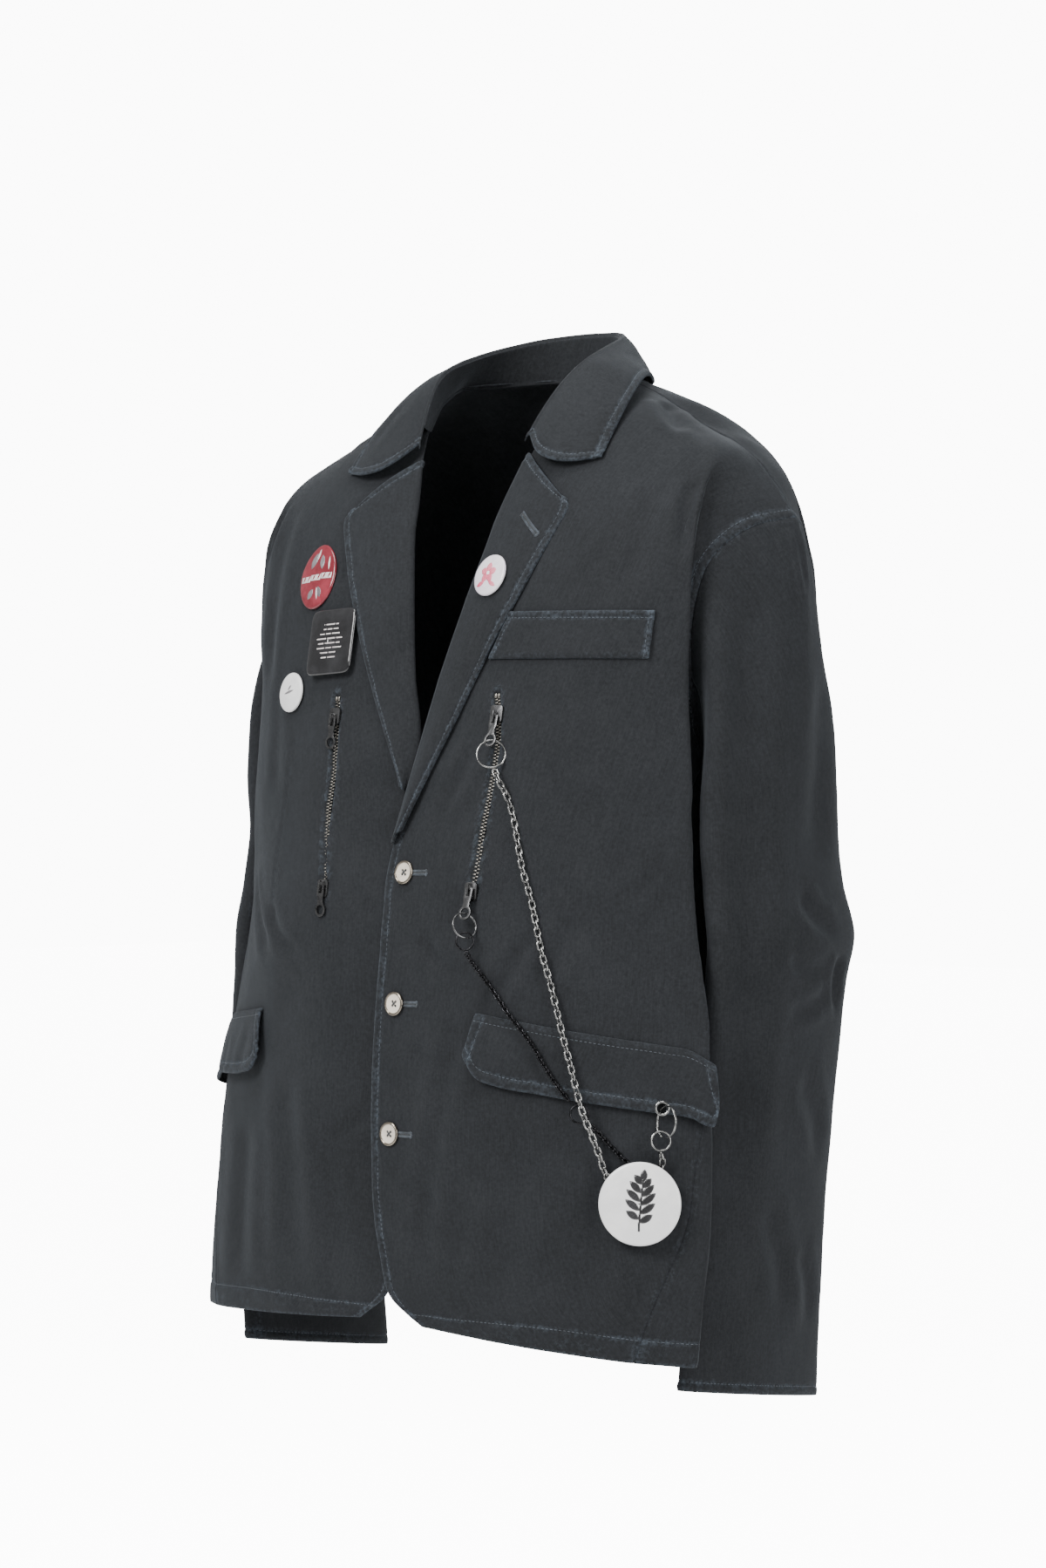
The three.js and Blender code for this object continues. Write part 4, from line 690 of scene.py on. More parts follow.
def clothPiece(name, side, grid, thickness, creases=(), stitched=(), seams=(), lines=(),
        shape=None, calm=1.0, hole=None):
    # grid is the middle surface of the left side's frame; the right side is mirrored at the end
    normals = gridNormals(grid)
    far = edgeDistances(grid)
    look = edgeLook
    depth = look["crease"] * creaseDepth(grid, creases) + creaseDepth(grid, lines)
    broken = grid * [1, 1, 0.8]
    depth += calm * look["ripple"] * softNoise(broken, look["rippleSize"], side * 7.1)
    depth += calm * look["drape"] * softNoise(grid * [1, 1, 0.45], look["drapeSize"], side * 3.7)
    depth += calm * 0.12 * softNoise(grid, 9, side * 5.3)
    fade = 0.06 * softNoise(grid, 5, 1.7) + 0.05
    patch = 0.5 + 0.5 * softNoise(grid, 6.5, 9.1)
    for edge, at, *levels in stitched:
        d = far[edge] + between(grid, levels)
        inside = np.clip(d / at, 0, 1)
        rope = look["rope"] * np.sin(np.pi * inside) ** 0.8
        depth += np.where(d < at, rope, 0) - look["trough"] * bell(d - at, 1.4)
        wave = softNoise(grid, look["puckerSize"], 4.4)
        depth += look["pucker"] * wave * bell(d - at * 0.75, at * 0.8)
        fade += (0.25 + 0.75 * patch) * 0.75 * bell(d - at, 1.7)
        fade += 0.5 * bell(d, 1.5) + 0.3 * patch * bell(d - at * 0.45, at * 0.3)
    for edge, *levels in seams:
        d = far[edge] + between(grid, levels)
        wave = softNoise(grid, 11, 6.2)
        depth += -0.55 * bell(d, 1.4) + (0.25 + 0.22 * wave) * bell(d - 3.4, 2.2)
        fade += 0.28 * patch * bell(d - 2.6, 2.2) + 0.12 * bell(d, 1.2)
    for route, width, _ in lines:
        mark = -creaseDepth(grid, [(route, width * 1.4, 1.0)])
        fade += 0.42 * patch * np.clip(mark, 0, 1)
    if shape:
        depth, fade = shape(grid, depth, fade)
    outer = grid + normals * (depth + thickness / 2)[..., None]
    inner = grid + normals * (0.9 * depth - thickness / 2)[..., None]
    uv = np.stack([far["u"], far["v"]], -1)
    piece = wallMesh(name, outer, inner, uv, fade, flip=side < 0, hole=hole)
    pieces[name] = {"piece": piece, "outer": outer, "normals": gridNormals(outer), "far": far,
        "side": side}
    return piece


def insetPath(name, edge, distance):
    # points and normals on the finished surface at a distance from one edge
    made = pieces[name]
    outer, normals, far = made["outer"], made["normals"], made["far"][edge]
    if edge in ("bottom", "top"):
        outer, normals, far = (outer.transpose(1, 0, 2), normals.transpose(1, 0, 2), far.T)
    points, outward = [], []
    for row, normal, d in zip(outer, normals, far):
        if d[0] > d[-1]:
            row, normal, d = row[::-1], normal[::-1], d[::-1]
        k = min(max(int(np.searchsorted(d, distance)), 1), len(d) - 1)
        t = np.clip((distance - d[k - 1]) / max(d[k] - d[k - 1], 1e-9), 0, 1)
        points.append(row[k - 1] * (1 - t) + row[k] * t)
        outward.append(normal[k - 1])
    path, outward = np.array(points), np.array(outward)
    if made["side"] < 0:
        path, outward = path * [-1, 1, 1], outward * [-1, 1, 1]
    return path, outward


# stitches: short rounded threads laid along a path, a little sunk into the cloth
stitchLook = {"pitch": 3.3, "length": 2.5, "radius": 0.27, "sink": 0.05}


def stitchMesh(name, paths, look=stitchLook):
    vertices, faces = [], []
    profile = ((-0.5, 0.25, -0.35), (-0.3, 0.9, 0.1), (0.0, 1.0, 0.3), (0.3, 0.9, 0.1),
        (0.5, 0.25, -0.35))
    for path, outward in paths:
        steps = np.linalg.norm(np.diff(path, axis=0), axis=1)
        along = np.concatenate([[0], np.cumsum(steps)])
        for at in np.arange(look["pitch"] * 0.6, along[-1] - look["pitch"] * 0.5, look["pitch"]):
            centre = np.array([np.interp(at, along, path[:, k]) for k in range(3)])
            ahead = np.array([np.interp(at + 0.8, along, path[:, k]) for k in range(3)])
            up = unit([np.interp(at, along, outward[:, k]) for k in range(3)])
            forward = unit(ahead - centre)
            across = unit(np.cross(up, forward))
            base = len(vertices)
            for share, size, rise in profile:
                middle = centre + forward * share * look["length"] + up * (rise * look["radius"]
                    - look["sink"])
                for k in range(5):
                    turn = 2 * math.pi * k / 5
                    vertices.append(middle + look["radius"] * size * (across * math.cos(turn)
                        + up * math.sin(turn)))
            for ring in range(4):
                for k in range(5):
                    a = base + ring * 5 + k
                    b = base + ring * 5 + (k + 1) % 5
                    faces.append((a, b, b + 5, a + 5))
    return makeMesh(name, np.array(vertices), np.array(faces))


# places on the fronts
def corners(grid):
    return grid[:-1, :-1], grid[:-1, 1:], grid[1:, 1:], grid[1:, :-1]


def turned(a, b):
    # cross product as seen from the front
    return a[..., 0] * b[..., 2] - b[..., 0] * a[..., 2]


def onPanel(grid, normals, x, z):
    spots, outward = corners(grid), corners(normals)
    best = None
    for three in ((0, 1, 2), (0, 2, 3)):
        p, q, r = (spots[k] for k in three)
        there = np.array([x, 0, z]) - p
        area = turned(q - p, r - p)
        area = np.where(np.abs(area) < 1e-9, 1e-9, area)
        wq, wr = turned(there, r - p) / area, turned(q - p, there) / area
        least = np.where(area > 0, np.minimum(np.minimum(wq, wr), 1 - wq - wr), -9)
        at = np.unravel_index(least.argmax(), least.shape)
        if best is None or least[at] > best[0]:
            weights = (1 - wq[at] - wr[at], wq[at], wr[at])
            point = sum(spots[k][at] * w for k, w in zip(three, weights))
            normal = unit(sum(outward[k][at] * w for k, w in zip(three, weights)))
            best = (least[at], point, normal)
    return best[1], best[2]


panels = {}
for side in (1, -1):
    panels[side] = {"front": frontGrid(side), "middle": sideGrid(side), "rear": rearGrid(side)}
    panels[side]["frontNormals"] = gridNormals(panels[side]["front"])
    top, under = sleeveGrids(side, panels[side]["front"], panels[side]["middle"],
        panels[side]["rear"])
    panels[side]["top"], panels[side]["under"] = top, under


def onFront(side, x, z):
    return onPanel(panels[side]["front"], panels[side]["frontNormals"], x, z)


def laidGrid(side, places, lift):
    rows = []
    for i, row in enumerate(places):
        line = []
        for j, (x, z) in enumerate(row):
            point, normal = onFront(side, x, z)
            line.append(point + normal * lift(i, j))
        rows.append(line)
    return np.array(rows)


def zipPlace(side, share):
    inside = min(max(share, 0), 1)
    row = readTable(zipPath, inside)
    length = zipPath[1][-1][3] - zipPath[1][0][3]
    return (row["leftX"] if side > 0 else row["rightX"]), row["z"] + (share - inside) * length


zipLook = {"half": 3.1, "sink": 2.0, "lip": 0.75, "lipAt": 4.5}


def nearest(points, route):
    return toCurve(points.reshape(-1, 3), route)[0].min(axis=1).reshape(points.shape[:-1])


def zipShape(side):
    route = np.array([onFront(side, *zipPlace(side, s))[0] for s in np.linspace(-0.015, 1.015, 14)])

    def shape(grid, depth, fade):
        look = zipLook
        gap = nearest(grid, route)
        wave = softNoise(grid, 7.5, 2.2 * side)
        calm = 1 - 0.75 * bell(gap, 16)
        depth = depth * calm
        inside = np.clip((look["half"] + 0.35 * wave - gap) / 1.3 + 0.5, 0, 1)
        inside = inside * inside * (3 - 2 * inside)
        lip = look["lip"] * (1 + 0.7 * wave) * bell(gap - look["lipAt"], 1.25)
        depth = (depth + lip) * (1 - inside) - look["sink"] * inside
        depth -= 0.25 * bell(gap - 7.4, 0.9)
        patch = 0.5 + 0.5 * softNoise(grid, 5, 3.1)
        fade = fade + (0.35 + 0.65 * patch) * 0.8 * bell(gap - look["lipAt"] + 0.3, 1.3)
        fade = fade + 0.35 * patch * bell(gap - 7.4, 1.0)
        return depth, fade
    return shape


# the cloth's pieces, with their stitched edges and their seams
hemStitch, edgeStitch, armholeStitch, cuffStitch, flapStitch = 16.0, 6.0, 7.0, 6.5, 7.2
lowest, highest, breakLevel, underarm = -999, 999, -300, cut["underarmLevel"]
for side in (1, -1):
    word = "left" if side > 0 else "right"
    panel = panels[side]
    clothPiece(f"shell_front_{word}", side,
        refined(trimmed(panel["front"], last=0.1, top=-0.8), 3.0, first=9, last=4, bottom=3,
          top=4, zones=((24, 62),)),
        cut["wall"], bodyCreases[side],
        stitched=[("first", edgeStitch, lowest, breakLevel), ("bottom", hemStitch),
            ("last", armholeStitch, underarm, highest)],
        seams=[("last", lowest, underarm), ("top",)], lines=seamLines[side],
        shape=zipShape(side))
    clothPiece(f"shell_side_{word}", side,
        refined(trimmed(panel["middle"], first=0.1, last=0.1, top=-0.6), 3.0, first=4, last=4),
        cut["wall"], sideCreases[side], stitched=[("bottom", hemStitch)],
        seams=[("first",), ("last",)])
    clothPiece(f"shell_back_{word}", side,
        refined(trimmed(panel["rear"], first=0.1, last=0.1, top=-0.8), 3.0, first=9, last=4,
          bottom=3, top=4),
        cut["wall"], rearCreases[side],
        stitched=[("bottom", hemStitch), ("first", armholeStitch, underarm, highest)],
        seams=[("first", lowest, underarm), ("last",), ("top",)])
    clothPiece(f"shell_sleeve_top_{word}", side,
        refined(trimmed(panel["top"], first=0.1, last=0.1, top=-2.2), 3.0, first=4, last=4,
          bottom=8, top=8),
        cut["wall"], sleeveCreases[side], stitched=[("bottom", cuffStitch)],
        seams=[("first",), ("last",), ("top",)])
    clothPiece(f"shell_sleeve_under_{word}", side,
        refined(trimmed(panel["under"], first=0.1, last=0.1, top=-2.2), 3.4, first=4, last=4,
          bottom=8),
        cut["wall"], underCreases[side], stitched=[("bottom", cuffStitch)],
        seams=[("first",), ("last",), ("top",)])
print("panels and sleeves", round(sum(len(p["piece"].data.polygons) for p in pieces.values())))


# lapels: laid over the chest, the roll turns back into the front's edge
def lapelGrid(side):
    table = lapelRows if side > 0 else [rightBreak] + lapelRows[2:]
    shares = [0, 0.2, 0.4, 0.6, 0.8, 1]
    places = [[(lerp(r[0] + 1, r[2], s), lerp(r[1], r[3], s)) for s in shares] for r in table]
    return laidGrid(side, places, lambda i, j: cut["layHeight"]
        + cut["lapelRise"] * math.sin(math.pi * shares[j]))


def withRoll(grid, side):
    # three more columns curl round the roll line down to the front's edge
    curl = []
    for row in grid:
        x, z = row[0][0] - 1, row[0][2]
        point, normal = onFront(side, x, z)
        inward = np.array([-0.93, -0.2, -0.3])
        curl.append([point + inward * 0.7, point + normal * 0.9 + inward * 1.5,
            point + normal * 2.3 + inward * 1.2])
    return np.concatenate([np.array(curl), grid], axis=1)


for side in (1, -1):
    word = "left" if side > 0 else "right"
    fine = withRoll(refined(lapelGrid(side), 2.3, last=8, top=7, fine=1.0), side)
    thickness = np.full(fine.shape[:2], cut["doubleWall"])
    thickness[:, :3] = (0.9, 1.1, 1.5)
    clothPiece(f"shell_lapel_{word}", side, fine, thickness,
        bodyCreases[side][:2] + [([(60, -99, -150), (52, -101, -170), (44, -104, -196)], 5,
          0.7), ([(84, -90, -100), (70, -92, -120)], 4, 0.5)],
        stitched=[("last", 5.3), ("top", 5.3)], calm=0.5)


# collar: the leaf falls from the fold, its upper rows turn over into the stand
def collarPoint(along, across):
    s = readTable(collarSections, abs(along))
    sign = -1 if along < 0 else 1

    def at(a, b, c):
        return ((1 - across) ** 2 * a + 2 * across * (1 - across) * (2 * b - (a + c) / 2)
            + across ** 2 * c)
    return np.array([sign * at(s["foldX"], s["midX"], s["edgeX"]),
        at(s["foldY"], s["midY"], s["edgeY"]), at(s["foldZ"], s["midZ"], s["edgeZ"])])


signedSteps = [round(1 - 0.1 * k, 2) for k in range(21)]
collarGrid = np.array([[collarPoint(along, across) for along in signedSteps]
    for across in (1, 0.75, 0.5, 0.25, 0)])


def standTop(fold, along):
    sign = -1 if along < 0 else 1
    return fold + np.array([-2.6 * sign * min(1, abs(along) * 4), -2.4, -2.2])


def standPoint(along, rise):
    fold = collarPoint(along * 0.93, 0)
    across = abs(along)
    base = (readTable(backNeck, across / 0.5) if across < 0.5
        else readTable(neckEdge, lerp(36, -2, (across - 0.5) / 0.5)))
    sign = -1 if along < 0 else 1
    out = np.array([sign * base["x"], base["y"], base["z"] + 1.2])
    return lerp(out, standTop(fold, along), rise)


def withFold(grid):
    rows = list(grid)
    knots = np.concatenate([[0], np.cumsum(np.linalg.norm(np.diff(grid[-1], axis=0), axis=1))])
    for share, rise in ((0.3, 1.1), (0.8, 0.9), (1.15, -1.6)):
        rows.append(np.array([p + (standTop(p, 1 - 2 * k / knots[-1]) - p) * share
            + np.array([0, 0, rise]) for p, k in zip(grid[-1], knots)]))
    return np.array(rows)


fine = withFold(refined(collarGrid, 2.4, first=8, last=8, bottom=8, fine=1.0))
thickness = np.full(fine.shape[:2], cut["doubleWall"])
thickness[-3:] = np.array([1.5, 1.1, 0.9])[:, None]
collarCreases = [([(20, 95, 60), (48, 84, 62), (76, 52, 56), (92, 16, 44)], 6, 0.8),
    ([(-16, 94, 56), (-50, 82, 58), (-80, 46, 52)], 7, 0.7),
    ([(86, -30, 22), (98, -44, 0), (104, -52, -16)], 6, 0.6),
    ([(-84, -28, 24), (-98, -42, 2), (-106, -52, -14)], 6, 0.6)]
clothPiece("shell_collar_leaf", 1, fine, thickness, collarCreases,
    stitched=[("bottom", 5.6), ("first", 5.6), ("last", 5.6)], calm=0.6)
standGrid = np.array([[standPoint(along, rise) for along in signedSteps] for rise in (0, 0.5, 1)])
clothPiece("shell_collar_stand", 1, refined(trimmed(standGrid, bottom=-3.0), 2.6, bottom=4), 1.6,
    calm=0.3, seams=[("bottom",)])

# pocket flaps and the breast welt
flapColumns = (0, 0.04, 0.12, 0.24, 0.36, 0.48, 0.6, 0.72, 0.84, 0.95, 1)
flap = {"rows": 4, "depth": 46, "corner": 0.35, "ringShare": 0.88, "sewnCloser": 0.75}
flapSizes = {
    1: {"startX": 79, "endPlace": 3.93, "topStart": -427, "topEnd": -461, "lean": 8, "mouth": 1.5,
      "ringRoom": 5.2},
    -1: {"startX": 146, "endPlace": 5.1, "topStart": -432, "topEnd": -458, "lean": 9, "mouth": 5,
      "ringRoom": 0}}


def flapGrid(side):
    size = flapSizes[side]
    rows = []
    for i in range(flap["rows"] + 1):
        down = 1 - i / flap["rows"]
        row = []
        for share in flapColumns:
            end = min(share, 1 - share) / 0.12
            taken = flap["corner"] * (1 - math.sqrt(1 - (1 - end) ** 2)) if end < 1 else 0
            z = lerp(size["topStart"], size["topEnd"], share) - flap["depth"] * (1 - taken) * down
            start = placeAtX(size["startX"] - size["lean"] * down, z)
            row.append(bodyPoint(lerp(start, size["endPlace"], share), z))
        rows.append(row)
    grid = np.array(rows, float)
    normals = gridNormals(grid)
    down = (1 - np.arange(flap["rows"] + 1) / flap["rows"])[:, None]
    share = np.array(flapColumns)[None]
    opened = size["mouth"] * np.sin(np.pi * down / 2) * (1 - share / 2)
    pushed = size["ringRoom"] * down * np.exp(-((share - flap["ringShare"]) / 0.2) ** 2)
    sewn = np.where(down == 0, flap["sewnCloser"], 0)
    return grid + normals * (cut["layHeight"] + opened + pushed - sewn)[..., None]


flapGrids = {side: flapGrid(side) for side in (1, -1)}
eyeletPoint = onPanel(flapGrids[1], gridNormals(flapGrids[1]), 210, -490)[0]
for side in (1, -1):
    word = "left" if side > 0 else "right"
    flapCreases = {1: [([(84, -140, -436), (92, -143, -452), (98, -146, -466)], 4, 0.9),
          ([(128, -140, -446), (134, -142, -470), (136, -144, -488)], 9, 0.8),
          ([(176, -130, -462), (184, -128, -482), (190, -126, -498)], 7, 0.8)],
        -1: [([(160, -130, -446), (170, -130, -466), (176, -130, -484)], 7, 0.8),
          ([(206, -110, -450), (212, -106, -476), (214, -104, -494)], 7, 0.8)]}
    clothPiece(f"shell_flap_{word}", side,
        refined(flapGrids[side], 1.3, first=8, last=8, bottom=8, top=4, fine=0.9),
        cut["doubleWall"], flapCreases[side],
        stitched=[("bottom", flapStitch), ("first", flapStitch), ("last", flapStitch)],
        seams=[("top",)], calm=0.5,
        hole=(eyeletPoint, 4.0) if side > 0 else None)
welt = {"low": (61, 184), "high": (75, 187), "bottom": -176, "top": -143}
weltPlaces = [[(lerp(lerp(*welt["low"], s), lerp(*welt["high"], s), up),
    lerp(welt["bottom"], welt["top"], up) - s)
    for s in (0, 0.2, 0.4, 0.6, 0.8, 1)] for up in (0, 0.5, 1)]
clothPiece("shell_breast_welt", 1,
    refined(laidGrid(1, weltPlaces, lambda i, j: cut["layHeight"]), 1.5, first=5, last=5,
      bottom=4, top=5, fine=0.9), cut["doubleWall"],
    [([(110, -98, -146), (114, -99, -160), (112, -100, -174)], 6, 0.5)],
    stitched=[("first", 3.4), ("last", 3.4), ("top", 5.0)], seams=[("bottom",)], calm=0.5)
print("collar, lapels and pockets")


# materials: shared effects are node groups that give colours, masks and normals only
def newGroup(name, inputs, outputs):
    tree = bpy.data.node_groups.new(name, "ShaderNodeTree")
    for label, kind, value in inputs:
        socket = tree.interface.new_socket(label, in_out="INPUT", socket_type=kind)
        if value is not None:
            socket.default_value = value
    for label, kind in outputs:
        tree.interface.new_socket(label, in_out="OUTPUT", socket_type=kind)
    return tree, tree.nodes.new("NodeGroupInput").outputs, tree.nodes.new("NodeGroupOutput")


def plug(tree, made, sockets):
    for key, value in sockets.items():
        if isinstance(value, bpy.types.NodeSocket):
            tree.links.new(value, made.inputs[key])
        else:
            made.inputs[key].default_value = value


def node(tree, kind, sockets=None, **settings):
    made = tree.nodes.new(kind)
    for key, value in settings.items():
        setattr(made, key, value)
    plug(tree, made, sockets or {})
    return made


def noise(tree, place, scale, detail, roughness=0.5):
    return node(tree, "ShaderNodeTexNoise", {"Vector": place, "Scale": scale, "Detail": detail,
        "Roughness": roughness}).outputs[0]


def bump(tree, height, strength, distance):
    return node(tree, "ShaderNodeBump", {"Strength": strength, "Distance": distance,
        "Height": height}).outputs[0]


def inSpace(tree):
    return node(tree, "ShaderNodeTexCoord").outputs["Object"]


def painted(tree):
    # what the mesh says at each point
    return node(tree, "ShaderNodeAttribute", attribute_name="fade").outputs["Fac"]


def maths(tree, operation, a, b=0.0):
    return node(tree, "ShaderNodeMath", {0: a, 1: b}, operation=operation).outputs[0]


def ramp(tree, value, low, high):
    return node(tree, "ShaderNodeMapRange", {"Value": value, "From Min": low, "From Max": high},
        clamp=True).outputs[0]


def mixed(tree, factor, a, b):
    return node(tree, "ShaderNodeMix", {0: factor, 6: a, 7: b}, data_type="RGBA").outputs[2]


def plus(tree, a, b):
    return maths(tree, "ADD", a, b)


def times(tree, a, b):
    return maths(tree, "MULTIPLY", a, b)


def makeTwillGroup():
    # diagonal ribs of the weave with uneven yarns; Place is in millimetres along the cloth
    tree, given, result = newGroup(
        "twillWeave", [("Place", "NodeSocketVector", None), ("Rib", "NodeSocketFloat", 1.0)],
        [("Height", "NodeSocketFloat"), ("Streak", "NodeSocketFloat")])
    parts = node(tree, "ShaderNodeSeparateXYZ", {0: given["Place"]}).outputs
    wander = noise(tree, given["Place"], 0.35, 1.0)
    diagonal = plus(tree, parts[0], times(tree, parts[1], 1.45))
    diagonal = plus(tree, diagonal, times(tree, wander, 0.8))
    turns = maths(tree, "DIVIDE", times(tree, diagonal, 6.283), given["Rib"])
    rib = ramp(tree, maths(tree, "SINE", turns), -0.9, 0.7)
    stretched = node(tree, "ShaderNodeVectorMath", {0: given["Place"], 1: (1.25, 0.05, 1)},
        operation="MULTIPLY").outputs[0]
    streak = noise(tree, stretched, 1.0, 3.0, 0.6)
    yarn = noise(tree, given["Place"], 1.6, 2.0)
    plug(tree, result, {"Height": plus(tree, times(tree, rib, 0.6), times(tree, yarn, 0.6)),
        "Streak": ramp(tree, streak, 0.3, 0.7)})
    return tree


def makeWearGroup():
    # patchy washed-out tone; Worn is what the mesh says, Place is in metres in space
    tree, given, result = newGroup(
        "washWear", [("Worn", "NodeSocketFloat", 0.0), ("Place", "NodeSocketVector", None),
          ("Dark", "NodeSocketColor", (0.02, 0.024, 0.027, 1)),
          ("Mid", "NodeSocketColor", (0.04, 0.047, 0.053, 1)),
          ("Faded", "NodeSocketColor", (0.18, 0.21, 0.25, 1)),
          ("Streak", "NodeSocketFloat", 0.5)],
        [("Color", "NodeSocketColor"), ("Mask", "NodeSocketFloat")])
    cloud = noise(tree, given["Place"], 14.0, 4.0, 0.65)
    grain = noise(tree, given["Place"], 420.0, 2.0, 0.7)
    tone = plus(tree, times(tree, ramp(tree, cloud, 0.3, 0.72), 0.45),
        times(tree, given["Streak"], 0.4))
    tone = plus(tree, tone, times(tree, maths(tree, "SUBTRACT", grain, 0.5), 1.3))
    base = mixed(tree, tone, given["Dark"], given["Mid"])
    speck = times(tree, given["Worn"], ramp(tree, grain, 0.28, 0.66))
    mask = ramp(tree, speck, 0.1, 0.95)
    plug(tree, result, {"Color": mixed(tree, mask, base, given["Faded"]), "Mask": mask})
    return tree


def makeMetalGroup():
    # fine scratches and dull patches; gives a tone mask, a roughness and a height
    tree, given, result = newGroup(
        "metalWear", [("Place", "NodeSocketVector", None), ("Smooth", "NodeSocketFloat", 0.2),
          ("Dull", "NodeSocketFloat", 0.45)],
        [("Mask", "NodeSocketFloat"), ("Roughness", "NodeSocketFloat"),
        ("Height", "NodeSocketFloat")])
    mask = ramp(tree, noise(tree, given["Place"], 260.0, 4.0, 0.7), 0.38, 0.66)
    gap = maths(tree, "SUBTRACT", given["Dull"], given["Smooth"])
    plug(tree, result, {"Mask": mask, "Height": noise(tree, given["Place"], 1900.0, 2.0),
        "Roughness": plus(tree, given["Smooth"], times(tree, gap, mask))})
    return tree


twillGroup, wearGroup, metalGroup = makeTwillGroup(), makeWearGroup(), makeMetalGroup()


def newMaterial(name):
    material = bpy.data.materials.new(name)
    material.use_nodes = True
    return material, material.node_tree, material.node_tree.nodes["Principled BSDF"]


def use(tree, group, sockets):
    return node(tree, "ShaderNodeGroup", sockets, node_tree=group).outputs


clothLook = {"dark": (0.0078, 0.0088, 0.0102, 1), "mid": (0.0200, 0.0217, 0.0248, 1),
    "faded": (0.056, 0.070, 0.087, 1), "sheen": 0.09, "bump": 0.4, "rib": 0.85}


def makeCloth(name, look):
    material, tree, shader = newMaterial(name)
    place = node(tree, "ShaderNodeUVMap", uv_map="cloth").outputs[0]
    weave = use(tree, twillGroup, {"Place": place, "Rib": look["rib"]})
    wear = use(tree, wearGroup, {"Worn": painted(tree), "Place": inSpace(tree),
        "Dark": look["dark"], "Mid": look["mid"],
        "Faded": look["faded"], "Streak": weave["Streak"]})
    plug(tree, shader, {
        "Base Color": wear["Color"], "Normal": bump(tree, weave["Height"], look["bump"], 0.0003),
        "Roughness": 0.86, "Specular IOR Level": 0.22, "Sheen Weight": look["sheen"],
        "Sheen Roughness": 0.45, "Sheen Tint": (0.75, 0.85, 0.95, 1)})
    return material


def makeMetal(name, bright, dull, smooth, rough):
    material, tree, shader = newMaterial(name)
    wear = use(tree, metalGroup, {"Place": inSpace(tree), "Smooth": smooth, "Dull": rough})
    plug(tree, shader, {
        "Base Color": mixed(tree, wear["Mask"], bright, dull), "Roughness": wear["Roughness"],
        "Normal": bump(tree, wear["Height"], 0.15, 0.0001), "Metallic": 1.0})
    return material


def makeThread(name, a, b):
    material, tree, shader = newMaterial(name)
    space = inSpace(tree)
    twist = node(tree, "ShaderNodeTexWave", {"Vector": space, "Scale": 900.0, "Distortion": 2.0},
        wave_type="BANDS").outputs["Fac"]
    tone = ramp(tree, noise(tree, space, 160.0, 3.0), 0.35, 0.65)
    plug(tree, shader, {
        "Base Color": mixed(tree, tone, a, b), "Normal": bump(tree, twist, 0.4, 0.0001),
        "Roughness": 0.75, "Sheen Weight": 0.2})
    return material


def makeEnamel(name, a, b, roughness=0.16, holes=None):
    # printed or painted face under a clear dome, with faint clouding and dust
    material, tree, shader = newMaterial(name)
    space = inSpace(tree)
    tone = mixed(tree, ramp(tree, noise(tree, space, 60.0, 4.0, 0.6), 0.4, 0.62), a, b)
    if holes:  # the sewing holes' shade
        tone = mixed(tree, painted(tree), tone, holes)
    dust = ramp(tree, noise(tree, space, 900.0, 2.0), 0.5, 0.8)
    plug(tree, shader, {
        "Base Color": tone, "Roughness": plus(tree, times(tree, dust, 0.14), roughness),
        "Coat Weight": 0.6, "Coat Roughness": 0.06})
    return material


looks = {
    "twill": makeCloth("washed_twill", clothLook),
    "thread": makeThread("faded_thread", (0.024, 0.030, 0.036, 1), (0.062, 0.077, 0.096, 1)),
    "buttonThread": makeThread("button_thread", (0.022, 0.025, 0.03, 1), (0.06, 0.066, 0.075, 1)),
    "tape": makeThread("zip_tape", (0.012, 0.014, 0.016, 1), (0.03, 0.034, 0.038, 1)),
    "zip": makeMetal("antique_zip", (0.42, 0.40, 0.36, 1), (0.14, 0.13, 0.115, 1), 0.26, 0.46),
    "slider": makeMetal("slider_metal", (0.21, 0.21, 0.212, 1), (0.05, 0.05, 0.052, 1), 0.2, 0.42),
    "darkSlider": makeMetal("dark_slider_metal", (0.19, 0.19, 0.192, 1), (0.05, 0.05, 0.052, 1),
          0.2, 0.42),
    "silver": makeMetal("silver", (0.40, 0.40, 0.39, 1), (0.10, 0.10, 0.10, 1), 0.12, 0.3),
    "black": makeMetal("black_metal", (0.035, 0.035, 0.038, 1), (0.012, 0.012, 0.013, 1),
      0.22, 0.42),
    "button": makeEnamel("pearl_button", (0.78, 0.71, 0.60, 1), (0.62, 0.56, 0.47, 1), 0.22,
        holes=(0.03, 0.028, 0.026, 1)),
    "rim": makeMetal("button_rim", (0.34, 0.30, 0.25, 1), (0.13, 0.115, 0.095, 1), 0.18, 0.4),
    "white": makeEnamel("white_face", (0.86, 0.86, 0.85, 1), (0.78, 0.78, 0.78, 1), 0.2),
    "ink": makeEnamel("black_ink", (0.012, 0.012, 0.013, 1), (0.03, 0.03, 0.032, 1), 0.25),
    "gloss": makeEnamel("black_gloss", (0.008, 0.008, 0.009, 1), (0.02, 0.02, 0.022, 1), 0.08),
    "red": makeEnamel("dark_red_gloss", (0.16, 0.012, 0.02, 1), (0.26, 0.03, 0.045, 1), 0.12),
    "band": makeEnamel("pale_band", (0.70, 0.66, 0.64, 1), (0.5, 0.45, 0.45, 1), 0.15),
    "grey": makeEnamel("grey_patch", (0.22, 0.21, 0.22, 1), (0.12, 0.11, 0.12, 1), 0.15),
    "lilac": makeEnamel("lilac_face", (0.72, 0.66, 0.74, 1), (0.82, 0.79, 0.82, 1), 0.2),
    "pink": makeEnamel("pink_petal", (0.66, 0.08, 0.16, 1), (0.78, 0.25, 0.32, 1), 0.25)}
print("materials")


